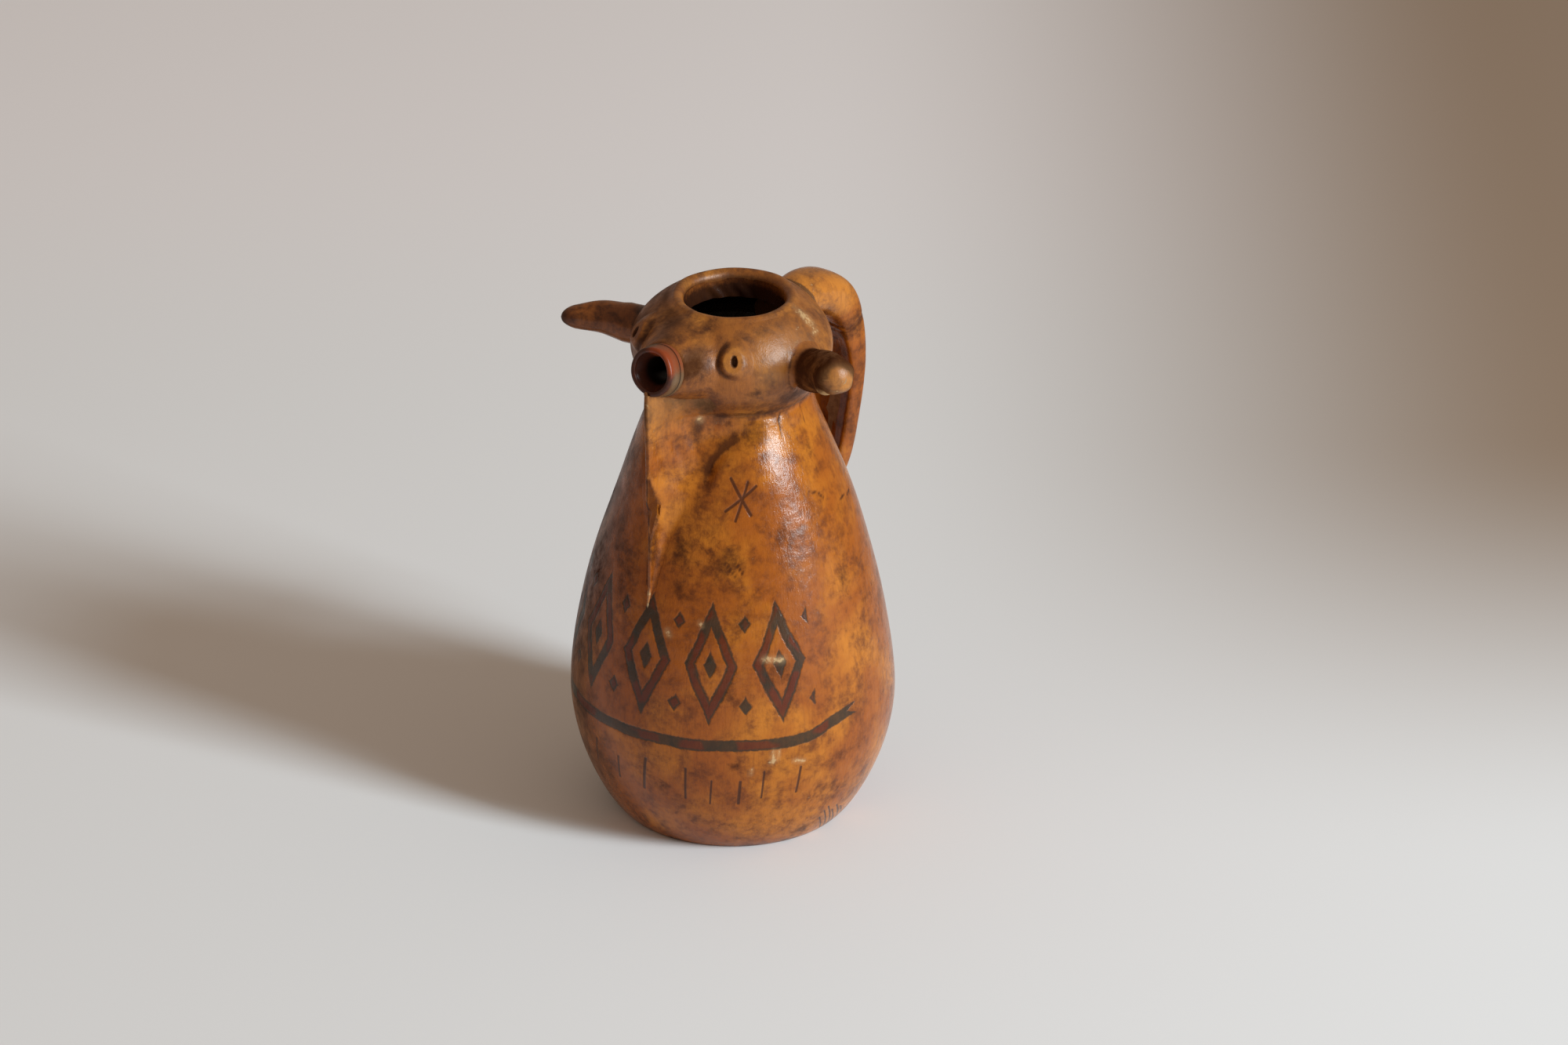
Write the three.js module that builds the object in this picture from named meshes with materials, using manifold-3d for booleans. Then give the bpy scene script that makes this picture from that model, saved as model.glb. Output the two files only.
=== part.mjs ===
// A leather pitcher shaped like a bull: a pear-shaped vessel for the body, a squashed ball for the
// head with the mouth on its crown, and a pouring spout through the muzzle.
// Millimetres, +Z up. The origin is the middle of the sole, on the table. The bull faces -Y,
// so its left side is +X and its handle stands at +Y.

import * as THREE from 'three';
import { mergeVertices } from 'three/addons/utils/BufferGeometryUtils.js';
import Module from 'manifold-3d';

const wasm = await Module();
wasm.setup();

// Sizes shared by every piece
const leather = 3;
const clearance = 0.3;

// How finely the turned and swept shapes are cut
const facets = 40;
const spoutFacets = 24;
const eyeFacets = 20;
const hornSteps = 12;
const hornSides = 12;
const handleSteps = 20;
const handleSides = 14;
const foldSteps = 12;

// The vessel: one sheet of leather moulded into a pear, with its foot turned under.
// The last values shape its two curves, as shares of the span that each curve crosses.
const body = {
  footRadius: 57.5,
  footRounding: 1.2,
  bellyRadius: 80,
  bellyHeight: 65,
  neckRadius: 37.6,
  neckHeight: 221,
  tuck: 8,
  hem: 13,
  footFlare: 0.42,
  footRise: 0.17,
  bellyBelow: 0.39,
  bellyAbove: 0.3,
  shoulderDraw: 0.3,
  shoulderDrop: 0.2,
};

// The disc that closes the foot, stepped so that it seats on the hem and fills its hole
const sole = {
  thickness: 4,
};

// The pitch that makes the leather hold wine
const lining = {
  thickness: 1.5,
  edgeDrop: 8,
};

// The head, with its heights counted from the top of the vessel's neck.
// The last values shape its two curves, as shares of the span that each curve crosses.
const head = {
  hemLift: 2,
  hemRounding: 1.2,
  widestRadius: 48.6,
  widestLift: 24.5,
  mouthLift: 50,
  hemFlare: 0.5,
  hemRise: 0.28,
  cheekBelow: 0.4,
  cheekAbove: 0.42,
  crownDraw: 0.6,
  crownDrop: 0.26,
};

// The muzzle: a flat pad square to the spout, that fades into the cheeks and out at neck and mouth
const muzzle = {
  swell: 8.2,
  padRadius: 13.5,
  sideFade: 31,
};

// The strip turned in round the mouth
const collar = {
  outerRadius: 27.1,
  thickness: 3,
  depth: 14,
};

// The spout: a flanged tube that leans up out of the muzzle
const spout = {
  lift: 30.4,
  tilt: 12,
  reach: 8,
  faceRadius: 12,
  flangeRadius: 13,
  tenonRadius: 9.6,
  boreRadius: 6.4,
  lipRadius: 7.6,
  inside: 15,
};

// The eyes: low cones with a slit for a pupil
const eye = {
  angle: 39.3,
  lift: 34.5,
  tilt: 22,
  radius: 8.5,
  proud: 4,
  slitWidth: 3,
  slitHeight: 5,
  slitDepth: 2.5,
};

// The horns: leather sleeves drawn over wooden cores. Each tip is given from the horn's root.
const horn = {
  skin: 2.4,
  flare: 2,
  out: 32,
  forward: 18.2,
  rootForward: 5.8,
  point: 0.6,
};
const hornRight = { side: -1, lift: 21.6, rise: 1.4, arch: 1, stemRadius: 9.8, tipRadius: 4.2 };
const hornLeft = { side: 1, lift: 25.4, rise: 9.4, arch: 0.5, stemRadius: 10.4, tipRadius: 6.6 };

// The throat fold, from below the spout down to where it dies out on the chest: a thin fin of
// doubled skin that flares where it meets the neck
const fold = {
  overhang: 10.8,
  edge: 4.4,
  topDrop: 8,
  topWidth: 22,
  neckWidth: 47,
  lowerLift: 45,
  lowerWidth: 22,
  tailLength: 29,
  tailWidth: 8,
  tailEdge: 2.8,
  tailProud: 3.6,
  flare: 4,
};

// The sewn edges that stand up below the throat fold
const welt = {
  width: 4.4,
  proud: 3.2,
  length: 20,
  fade: 0.85,
};

// The handle: a broad leather sleeve over a core, thickest where it leaves the head
const handle = {
  lift: 27.5,
  crownRise: 1.5,
  reach: 87.8,
  gripHeight: 206,
  footHeight: 144,
  topThickness: 19.6,
  gripThickness: 12.6,
  footThickness: 11,
  topWidth: 22,
  gripWidth: 28,
  footWidth: 22,
  skin: 2.4,
  squareness: 0.55,
};

const axis = new THREE.Vector3(0, 0, 1);
const sideways = new THREE.Vector3(1, 0, 0);
const radians = THREE.MathUtils.degToRad;
const round = 1;

// Outlines of the turned shapes, as points (radius, height)

function curvePoints(from, leave, arrive, to, steps) {
  return new THREE.CubicBezierCurve(from, leave, arrive, to).getPoints(steps);
}

function bodyOutline() {
  const foot = new THREE.Vector2(body.footRadius, body.footRounding);
  const belly = new THREE.Vector2(body.bellyRadius, body.bellyHeight);
  const neck = new THREE.Vector2(body.neckRadius, body.neckHeight);
  const spread = belly.x - foot.x;
  const draw = belly.x - neck.x;
  const drop = neck.y - belly.y;
  const lower = curvePoints(
    foot,
    new THREE.Vector2(foot.x + spread * body.footFlare, belly.y * body.footRise),
    new THREE.Vector2(belly.x, belly.y * (1 - body.bellyBelow)),
    belly,
    5,
  );
  const upper = curvePoints(
    belly,
    new THREE.Vector2(belly.x, belly.y + drop * body.bellyAbove),
    new THREE.Vector2(neck.x + draw * body.shoulderDraw, neck.y - drop * body.shoulderDrop),
    neck,
    8,
  );
  const top = new THREE.Vector2(body.neckRadius, body.neckHeight + body.tuck);
  return [...lower, ...upper.slice(1), top];
}

function headOutline() {
  const bottom = body.neckHeight + head.hemLift;
  const hem = new THREE.Vector2(body.neckRadius + clearance + head.hemRounding, bottom + head.hemRounding);
  const widest = new THREE.Vector2(head.widestRadius, body.neckHeight + head.widestLift);
  const mouth = new THREE.Vector2(collar.outerRadius + clearance, body.neckHeight + head.mouthLift);
  const spread = widest.x - hem.x;
  const climb = widest.y - hem.y;
  const draw = widest.x - mouth.x;
  const rise = mouth.y - widest.y;
  const lower = curvePoints(
    hem,
    new THREE.Vector2(hem.x + spread * head.hemFlare, hem.y + climb * head.hemRise),
    new THREE.Vector2(widest.x, widest.y - climb * head.cheekBelow),
    widest,
    5,
  );
  const upper = curvePoints(
    widest,
    new THREE.Vector2(widest.x, widest.y + rise * head.cheekAbove),
    new THREE.Vector2(mouth.x + draw * head.crownDraw, mouth.y - rise * head.crownDrop),
    mouth,
    7,
  );
  return [...lower, ...upper.slice(1)];
}

// An outline moved inwards by a wall's thickness, each point along the mean of its two edges' normals.
// A moved point keeps the level it came from, so that all the layers of a wall swell alike.
function inset(outline, distance) {
  return outline.map((point, i) => {
    const before = outline[Math.max(i - 1, 0)];
    const after = outline[Math.min(i + 1, outline.length - 1)];
    const along = after.clone().sub(before).normalize();
    const moved = new THREE.Vector2(point.x - along.y * distance, point.y + along.x * distance);
    moved.level = point.level ?? point.y;
    return moved;
  });
}

// The radius of an outline at a height
function radiusAt(outline, height) {
  for (let i = 1; i < outline.length; i += 1) {
    const low = outline[i - 1];
    const high = outline[i];
    if (height <= high.y) {
      return THREE.MathUtils.mapLinear(height, low.y, high.y, low.x, high.x);
    }
  }
  return outline.at(-1).x;
}

const bodyLine = bodyOutline();
const headLine = headOutline();
const neckTop = body.neckHeight + body.tuck;
const mouthHeight = body.neckHeight + head.mouthLift;
const spoutHeight = body.neckHeight + spout.lift;
const spoutTilt = radians(spout.tilt);
const muzzleFront = radiusAt(headLine, spoutHeight) + muzzle.swell;

// How far the muzzle stands out of the round head, at an angle from the front and a height
function muzzleSwell(angle, height) {
  if (Math.abs(angle) > Math.PI / 3) {
    return 0;
  }
  const climb = height - spoutHeight;
  const pad = (muzzleFront - climb * Math.tan(spoutTilt)) / Math.cos(angle);
  const across = pad * Math.sin(angle);
  const fromSpout = Math.hypot(across, climb);
  const upright = climb > 0 ? mouthHeight - spoutHeight : spoutHeight - neckTop;
  const fade = fromSpout / Math.hypot(across / muzzle.sideFade, climb / upright, 1e-6);
  const share = 1 - THREE.MathUtils.smoothstep(fromSpout, muzzle.padRadius, fade);
  return Math.max(pad - radiusAt(headLine, height), 0) * share;
}

// Solids

function toSolid(geometry) {
  const bare = geometry.clone();
  bare.deleteAttribute('normal');
  bare.deleteAttribute('uv');
  const merged = mergeVertices(bare, 1e-4);
  const index = merged.index.array;
  const triVerts = [];
  for (let i = 0; i < index.length; i += 3) {
    const [a, b, c] = [index[i], index[i + 1], index[i + 2]];
    if (a !== b && b !== c && c !== a) {
      triVerts.push(a, b, c);
    }
  }
  const mesh = new wasm.Mesh({
    numProp: 3,
    vertProperties: new Float32Array(merged.attributes.position.array),
    triVerts: new Uint32Array(triVerts),
  });
  return new wasm.Manifold(mesh);
}

function toGeometry(solid) {
  const mesh = solid.getMesh();
  const geometry = new THREE.BufferGeometry();
  geometry.setAttribute('position', new THREE.BufferAttribute(mesh.vertProperties, 3));
  geometry.setIndex(new THREE.BufferAttribute(mesh.triVerts, 1));
  geometry.computeVertexNormals();
  return geometry;
}

// A closed outline turned about +Z
function turned(points, segments = facets) {
  const closed = points[0].x < 1e-6 ? points : [...points, points[0].clone()];
  return new THREE.LatheGeometry(closed, segments).rotateX(Math.PI / 2);
}

// A closed outline turned about +Z, with its points moved out over the muzzle
function turnedHead(points) {
  const geometry = turned(points);
  const position = geometry.attributes.position;
  const rows = position.count / (facets + 1);
  for (let i = 0; i < position.count; i += 1) {
    const x = position.getX(i);
    const y = position.getY(i);
    const radius = Math.hypot(x, y);
    const from = points[(i % rows) % points.length];
    if (radius > clearance) {
      const grown = 1 + muzzleSwell(Math.atan2(x, -y), from.level ?? from.y) / radius;
      position.setXY(i, x * grown, y * grown);
    }
  }
  return geometry;
}

// Six times the volume inside a closed list of faces: negative where they point inwards
function enclosedVolume(points, faces) {
  let volume = 0;
  for (let i = 0; i < faces.length; i += 3) {
    const [a, b, c] = [points[faces[i]], points[faces[i + 1]], points[faces[i + 2]]];
    volume += a.dot(new THREE.Vector3().crossVectors(b, c));
  }
  return volume;
}

// Rings of points joined into a closed body with a flat cap at each end
function lofted(rings) {
  const sides = rings[0].length;
  const points = rings.flat();
  const faces = [];
  for (let j = 0; j + 1 < rings.length; j += 1) {
    for (let i = 0; i < sides; i += 1) {
      const next = (i + 1) % sides;
      const [a, b] = [j * sides + i, j * sides + next];
      const [c, d] = [a + sides, b + sides];
      faces.push(a, b, d, a, d, c);
    }
  }
  const middle = (ring) => ring.reduce((sum, p) => sum.add(p), new THREE.Vector3()).divideScalar(sides);
  const start = points.push(middle(rings[0])) - 1;
  const end = points.push(middle(rings.at(-1))) - 1;
  const last = (rings.length - 1) * sides;
  for (let i = 0; i < sides; i += 1) {
    const next = (i + 1) % sides;
    faces.push(start, next, i, end, last + i, last + next);
  }
  const geometry = new THREE.BufferGeometry().setFromPoints(points);
  geometry.setIndex(enclosedVolume(points, faces) > 0 ? faces : faces.reverse());
  return geometry;
}

// A body swept along a curve, from its start to a share of its length.
// The section gives the half width and half thickness at each share of the way.
function swept(curve, steps, sides, across, squareness, section, end = 1) {
  const rings = [];
  for (let j = 0; j <= steps; j += 1) {
    const share = (j / steps) * end;
    const centre = curve.getPointAt(share);
    const along = curve.getTangentAt(share);
    const outward = new THREE.Vector3().crossVectors(along, across).normalize();
    const flank = new THREE.Vector3().crossVectors(outward, along).normalize();
    const [width, thickness] = section(share);
    const ring = [];
    for (let i = 0; i < sides; i += 1) {
      const turn = (i / sides) * 2 * Math.PI;
      const [c, s] = [Math.cos(turn), Math.sin(turn)];
      const u = Math.sign(c) * Math.abs(c) ** squareness * width;
      const v = Math.sign(s) * Math.abs(s) ** squareness * thickness;
      ring.push(centre.clone().addScaledVector(flank, u).addScaledVector(outward, v));
    }
    rings.push(ring);
  }
  return lofted(rings);
}

// The outside of the vessel and of the head, grown by a margin, and the room inside them
function bodyEnvelope(margin) {
  const grown = inset(bodyLine, -margin);
  const foot = new THREE.Vector2(0, grown[0].y - margin);
  const rim = new THREE.Vector2(0, grown.at(-1).y + margin);
  return toSolid(turned([foot, new THREE.Vector2(grown[0].x, foot.y), ...grown, rim]));
}

function headEnvelope(margin) {
  const grown = inset(headLine, -margin);
  const low = body.neckHeight + head.hemLift - margin;
  const start = new THREE.Vector2(body.neckRadius + clearance, low);
  const points = [new THREE.Vector2(0, low), start, ...grown, new THREE.Vector2(0, grown.at(-1).y)];
  return toSolid(turnedHead(points));
}

const bodySolid = bodyEnvelope(clearance);
const headSolid = headEnvelope(clearance);
const bodyRoom = bodyEnvelope(-leather);
const headRoom = headEnvelope(-leather);

// The vessel's pieces

// A line up the inside of the vessel, from the hem to the top of the neck, with every second point
function wallLine(gap) {
  const line = inset(bodyLine, gap);
  const kept = line.filter((point, i) => point.y > leather + 1 && (line.length - i) % 2 === 0);
  return [new THREE.Vector2(radiusAt(line, leather), leather), ...kept, line.at(-1)];
}

function bodySkin(openings) {
  const hemEdge = body.footRadius - body.hem;
  const outline = [
    new THREE.Vector2(body.footRadius - body.footRounding, 0),
    ...bodyLine,
    ...wallLine(leather).reverse(),
    new THREE.Vector2(hemEdge, leather),
    new THREE.Vector2(hemEdge, 0),
  ];
  return toSolid(turned(outline)).subtract(openings);
}

function baseSole() {
  const plug = body.footRadius - body.hem - clearance;
  const seat = leather + clearance;
  const top = seat + sole.thickness;
  const lowRadius = radiusAt(wallLine(leather + clearance), seat);
  const outline = [
    new THREE.Vector2(0, 0),
    new THREE.Vector2(plug, 0),
    new THREE.Vector2(plug, seat),
    new THREE.Vector2(lowRadius, seat),
    new THREE.Vector2(lowRadius, top),
    new THREE.Vector2(0, top),
  ];
  return toSolid(turned(outline));
}

// A point at another height that swells as the first one does
function raised(point, height) {
  const moved = new THREE.Vector2(point.x, height);
  moved.level = point.level;
  return moved;
}

function pitchLining(openings) {
  const gap = leather + clearance;
  const floor = leather + clearance + sole.thickness + clearance;
  const line = wallLine(gap);
  const wall = line.filter((point) => point.y > floor + 1);
  wall.at(-1).y = neckTop + clearance;
  const shoulder = neckTop + gap;
  const edge = mouthHeight - lining.edgeDrop;
  const dome = inset(headLine, gap).filter((point) => point.y > shoulder && point.y < edge);
  const outer = [new THREE.Vector2(radiusAt(line, floor), floor), ...wall, ...dome];
  const inner = inset(outer, lining.thickness);
  inner[0].y = floor + lining.thickness;
  const top = outer.at(-1).y;
  const above = top + lining.thickness;
  const outside = [new THREE.Vector2(0, floor), ...outer, new THREE.Vector2(0, top)];
  const inside = [
    new THREE.Vector2(0, inner[0].y),
    ...inner,
    raised(inner.at(-1), above),
    new THREE.Vector2(0, above),
  ];
  return toSolid(turnedHead(outside)).subtract(toSolid(turnedHead(inside))).subtract(openings);
}

function headSkin(openings) {
  const below = body.neckHeight;
  const hole = body.neckRadius + clearance;
  const rim = headLine.at(-1);
  const above = rim.y + leather;
  const dome = inset(headLine, leather).filter((point) => point.y > neckTop + clearance);
  const inside = [
    new THREE.Vector2(0, below),
    new THREE.Vector2(hole, below),
    new THREE.Vector2(hole, neckTop + clearance),
    ...dome.slice(0, -1),
    new THREE.Vector2(rim.x, rim.y - leather),
    new THREE.Vector2(rim.x, above),
    new THREE.Vector2(0, above),
  ];
  return headEnvelope(0).subtract(toSolid(turnedHead(inside))).subtract(openings);
}

function mouthCollar() {
  const outer = collar.outerRadius;
  const inner = outer - collar.thickness;
  const top = mouthHeight + clearance;
  const bottom = mouthHeight - collar.depth;
  const crest = new THREE.EllipseCurve(
    outer - collar.thickness / 2,
    top - collar.thickness / 4,
    collar.thickness / 2,
    collar.thickness / 3,
    0,
    Math.PI,
  );
  const outline = [
    new THREE.Vector2(outer, bottom),
    ...crest.getPoints(4),
    new THREE.Vector2(inner - collar.thickness / 6, bottom),
  ];
  return toSolid(turned(outline));
}

// The spout, built along +Z with its face at 0 and then leaned out of the muzzle
function aimSpout(geometry) {
  const face = spout.reach;
  geometry.rotateX(Math.PI / 2 - spoutTilt);
  return geometry.translate(
    0,
    -muzzleFront - face * Math.cos(spoutTilt),
    spoutHeight + face * Math.sin(spoutTilt),
  );
}

function spoutTube(radius, from, to) {
  const outline = [
    new THREE.Vector2(0, from),
    new THREE.Vector2(radius, from),
    new THREE.Vector2(radius, to),
    new THREE.Vector2(0, to),
  ];
  return toSolid(aimSpout(turned(outline, spoutFacets)));
}

function spoutFlange(margin) {
  const face = margin;
  const back = -spout.reach - muzzle.swell;
  const outline = [
    new THREE.Vector2(0, back),
    new THREE.Vector2(spout.flangeRadius + margin, back),
    new THREE.Vector2(spout.flangeRadius + margin, -spout.reach * 0.75),
    new THREE.Vector2(spout.faceRadius + margin, -spout.reach * 0.12),
    new THREE.Vector2(spout.faceRadius - 1 + margin, face),
    new THREE.Vector2(0, face),
  ];
  return toSolid(aimSpout(turned(outline, spoutFacets)));
}

const spoutEnd = -spout.reach - spout.inside;

function spoutBore() {
  const outline = [
    new THREE.Vector2(0, spoutEnd - 1),
    new THREE.Vector2(spout.boreRadius, spoutEnd - 1),
    new THREE.Vector2(spout.boreRadius, -spout.reach / 2),
    new THREE.Vector2(spout.lipRadius, 1),
    new THREE.Vector2(0, 1),
  ];
  return toSolid(aimSpout(turned(outline, spoutFacets)));
}

function spoutPiece() {
  const tenon = spoutTube(spout.tenonRadius, spoutEnd, -1);
  return spoutFlange(0).subtract(headSolid).add(tenon).subtract(spoutBore());
}

// An eye, built along +Z with its root at 0 and then set on the head
function eyePiece(side) {
  const angle = radians(eye.angle) * side;
  const height = body.neckHeight + eye.lift;
  const radius = radiusAt(headLine, height) + muzzleSwell(angle, height);
  const lean = radians(90 - eye.tilt);
  const place = (geometry) => {
    geometry.rotateX(lean).rotateZ(angle);
    return toSolid(geometry.translate(radius * Math.sin(angle), -radius * Math.cos(angle), height));
  };
  const outline = [
    new THREE.Vector2(0, -eye.radius),
    new THREE.Vector2(eye.radius, -eye.radius),
    new THREE.Vector2(eye.radius, 0),
    new THREE.Vector2(eye.radius * 0.8, eye.proud * 0.55),
    new THREE.Vector2(eye.radius * 0.5, eye.proud * 0.9),
    new THREE.Vector2(0, eye.proud),
  ];
  const slit = new THREE.CylinderGeometry(1, 1, eye.slitDepth * 2, 12).rotateX(Math.PI / 2);
  slit.scale(eye.slitWidth / 2, eye.slitHeight / 2, 1).translate(0, 0, eye.proud);
  return place(turned(outline, eyeFacets)).subtract(headSolid).subtract(place(slit));
}

// A horn's middle line, from inside the head out to its tip
function hornLine(which) {
  const height = body.neckHeight + which.lift;
  const surface = radiusAt(headLine, height);
  const root = new THREE.Vector3(which.side * (surface + leather), -horn.rootForward, height);
  const tip = root.clone().add(new THREE.Vector3(which.side * horn.out, -horn.forward, which.rise));
  const bend = root.clone().lerp(tip, 0.5).add(new THREE.Vector3(0, horn.forward * 0.12, which.arch));
  const start = new THREE.Vector3(which.side * (surface - leather * 4), -horn.rootForward * 0.4, height);
  return new THREE.CatmullRomCurve3([start, root, bend, tip]);
}

// A horn's radius along its line: flared at the root, tapered along the stem, round at the tip
function hornRadius(which, share) {
  const flare = Math.max(0, 1 - share / 0.5) ** 2 * horn.flare;
  const taper = THREE.MathUtils.lerp(which.stemRadius, which.tipRadius, Math.max(share - 0.2, 0) / 0.8);
  const endLength = (1.2 * which.tipRadius) / (horn.out + leather * 4);
  const toEnd = Math.min((1 - share) / endLength, 1);
  const closing = Math.sqrt(Math.max(1 - (1 - toEnd) ** 2, 0.02));
  return (taper + flare) * closing;
}

// A horn as a solid, thinner all round and shorter at the tip by the same amount
function hornBody(which, thinner) {
  const line = hornLine(which);
  const section = (share) => {
    const radius = Math.max(hornRadius(which, share) - thinner, horn.point);
    return [radius, radius];
  };
  const end = 1 - thinner / line.getLength();
  return toSolid(swept(line, hornSteps, hornSides, axis, round, section, end));
}

function hornSkin(which) {
  return hornBody(which, 0).subtract(hornBody(which, horn.skin)).subtract(headSolid);
}

function hornCore(which) {
  return hornBody(which, horn.skin + clearance).subtract(headRoom);
}

// The handle's middle line, in the plane x = 0, as distances behind the axis and heights
function handleLine() {
  const top = body.neckHeight + handle.lift;
  const back = radiusAt(headLine, top);
  const arc = handle.reach - back;
  const foot = radiusAt(bodyLine, handle.footHeight);
  const points = [
    [back - leather * 5, top - handle.crownRise],
    [back + arc * 0.3, top + handle.crownRise],
    [back + arc * 0.68, top - arc * 0.12],
    [handle.reach - 3, top - arc * 0.62],
    [handle.reach, handle.gripHeight],
    [handle.reach - 4.6, THREE.MathUtils.lerp(handle.gripHeight, handle.footHeight, 0.45)],
    [foot + leather * 4, handle.footHeight + leather * 4],
    [foot - leather * 5, handle.footHeight - leather * 4],
  ];
  return new THREE.CatmullRomCurve3(points.map(([y, z]) => new THREE.Vector3(0, y, z)));
}

function handleSection(share, thinner) {
  const { smoothstep, lerp } = THREE.MathUtils;
  const toGrip = smoothstep(share, 0.25, 0.55);
  const toFoot = smoothstep(share, 0.6, 0.95);
  const thickness = lerp(lerp(handle.topThickness, handle.gripThickness, toGrip), handle.footThickness, toFoot);
  const toFull = smoothstep(share, 0, 0.3);
  const width = lerp(lerp(handle.topWidth, handle.gripWidth, toFull), handle.footWidth, toFoot);
  return [width / 2 - thinner, thickness / 2 - thinner];
}

function handleBody(thinner) {
  const section = (share) => handleSection(share, thinner);
  return toSolid(swept(handleLine(), handleSteps, handleSides, sideways, handle.squareness, section));
}

function handleSkin() {
  return handleBody(0).subtract(handleBody(handle.skin)).subtract(headSolid).subtract(bodySolid);
}

function handleCore() {
  return handleBody(handle.skin + clearance).subtract(headRoom).subtract(bodyRoom);
}

// The throat fold, from its top edge under the spout to its tail on the chest.
// Each level has the fold's front edge and its width where it meets the neck.
const foldFront = muzzleFront + fold.overhang;

function foldLevels() {
  const top = spoutHeight - fold.topDrop;
  const neck = body.neckHeight;
  const lower = neck - fold.lowerLift + fold.topWidth;
  const tail = neck - fold.lowerLift - fold.tailLength / 2;
  const tailEnd = tail - fold.tailLength / 2;
  const tailFront = radiusAt(bodyLine, tailEnd) + fold.tailProud;
  const path = new THREE.CatmullRomCurve3([
    new THREE.Vector3(foldFront, fold.topWidth, top),
    new THREE.Vector3(foldFront, fold.neckWidth * 0.9, neck + head.hemLift * 4),
    new THREE.Vector3(foldFront, fold.neckWidth, neck),
    new THREE.Vector3(foldFront, fold.lowerWidth * 1.5, lower),
    new THREE.Vector3(THREE.MathUtils.lerp(foldFront, tailFront, 0.2), fold.lowerWidth * 0.75, tail + 12),
    new THREE.Vector3(THREE.MathUtils.lerp(foldFront, tailFront, 0.5), fold.tailWidth * 1.2, tail),
    new THREE.Vector3(tailFront, fold.tailWidth, tailEnd),
  ]);
  return path.getPoints(foldSteps);
}

function foldRing(level) {
  const { x: front, y: width, z: height } = level;
  const half = width / 2;
  const surface = height > neckTop ? radiusAt(headLine, height) : radiusAt(bodyLine, height);
  const root = Math.sqrt(Math.max(surface ** 2 - half ** 2, surface));
  const depth = front - root;
  const edge = THREE.MathUtils.mapLinear(height, neckTop, body.neckHeight - fold.lowerLift, fold.edge, fold.tailEdge);
  const thin = THREE.MathUtils.clamp(edge, fold.tailEdge, fold.edge) / 2;
  const flank = [0, 0.02, 0.07, 0.4, 0.62, 0.78, 0.9, 1].map((share) => {
    const nose = thin * Math.sqrt(Math.min((share * depth) / thin, 1));
    return new THREE.Vector3(nose + (half - thin) * share ** fold.flare, -(front - depth * share), height);
  });
  flank.push(new THREE.Vector3(half * 0.9, -root + leather * 3, height));
  const mirrored = flank.slice(1).reverse().map((p) => new THREE.Vector3(-p.x, p.y, p.z));
  return [...flank, ...mirrored];
}

function throatFold() {
  const solid = toSolid(lofted(foldLevels().map(foldRing)));
  return solid.subtract(spoutFlange(clearance)).subtract(headSolid).subtract(bodySolid);
}

// The sewn edges below the fold, along the front of the vessel
function frontWelt() {
  const top = foldLevels().at(-1).z - clearance;
  const points = [0, 0.25, 0.5, 0.75, 1].map((share) => {
    const height = top + welt.proud - welt.length * share;
    return new THREE.Vector3(0, -radiusAt(bodyLine, height) - clearance, height);
  });
  const line = new THREE.CatmullRomCurve3(points);
  const section = (share) => {
    const fade = Math.sqrt(1 - share * welt.fade);
    return [(welt.width / 2) * fade, welt.proud * fade];
  };
  const strip = toSolid(swept(line, foldSteps, hornSides, sideways, round, section));
  return strip.trimByPlane([0, 0, -1], -top).subtract(bodySolid);
}

// Finishes

function finish(color, roughness) {
  return new THREE.MeshStandardMaterial({ color, roughness, metalness: 0 });
}

const tan = () => finish(0xb06a2c, 0.45);
const darkLeather = () => finish(0x6a3c1c, 0.45);
const redBrown = () => finish(0x5a2416, 0.4);
const rawLeather = () => finish(0x8a5a30, 0.8);
const pitchBlack = () => finish(0x17110d, 0.3);
const wood = () => finish(0x9c7448, 0.75);

// What passes through the skins, each grown by the clearance
const spoutHole = spoutTube(spout.tenonRadius + clearance, spoutEnd - 1, 0);
const headOpenings = [
  spoutHole,
  hornBody(hornRight, horn.skin),
  hornBody(hornLeft, horn.skin),
  handleBody(handle.skin),
].reduce((all, hole) => all.add(hole));

const pieces = [
  ['body_skin', bodySkin(handleBody(handle.skin)), tan()],
  ['base_sole', baseSole(), rawLeather()],
  ['pitch_lining', pitchLining(spoutHole), pitchBlack()],
  ['head_skin', headSkin(headOpenings), tan()],
  ['mouth_collar', mouthCollar(), darkLeather()],
  ['spout', spoutPiece(), redBrown()],
  ['eye_left', eyePiece(1), tan()],
  ['eye_right', eyePiece(-1), tan()],
  ['horn_left_skin', hornSkin(hornLeft), darkLeather()],
  ['horn_left_core', hornCore(hornLeft), wood()],
  ['horn_right_skin', hornSkin(hornRight), darkLeather()],
  ['horn_right_core', hornCore(hornRight), wood()],
  ['dewlap', throatFold(), tan()],
  ['front_welt', frontWelt(), darkLeather()],
  ['handle_skin', handleSkin(), tan()],
  ['handle_core', handleCore(), rawLeather()],
];

const pitcher = new THREE.Group();
for (const [name, solid, material] of pieces) {
  const mesh = new THREE.Mesh(toGeometry(solid), material);
  mesh.name = name;
  pitcher.add(mesh);
}

export default pitcher;
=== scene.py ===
"""A leather wine pitcher moulded in the shape of a bull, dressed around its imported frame.

Lengths are in millimetres. An angle is in degrees round the vessel, from its front towards the
bull's left side. The bull faces -Y and its left side is +X.
"""

import logging
import math
from dataclasses import dataclass
from enum import Enum
from typing import Callable, Sequence

import bmesh
import bpy
import numpy as np
import numpy.typing as npt
from mathutils import Matrix, Vector


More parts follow.
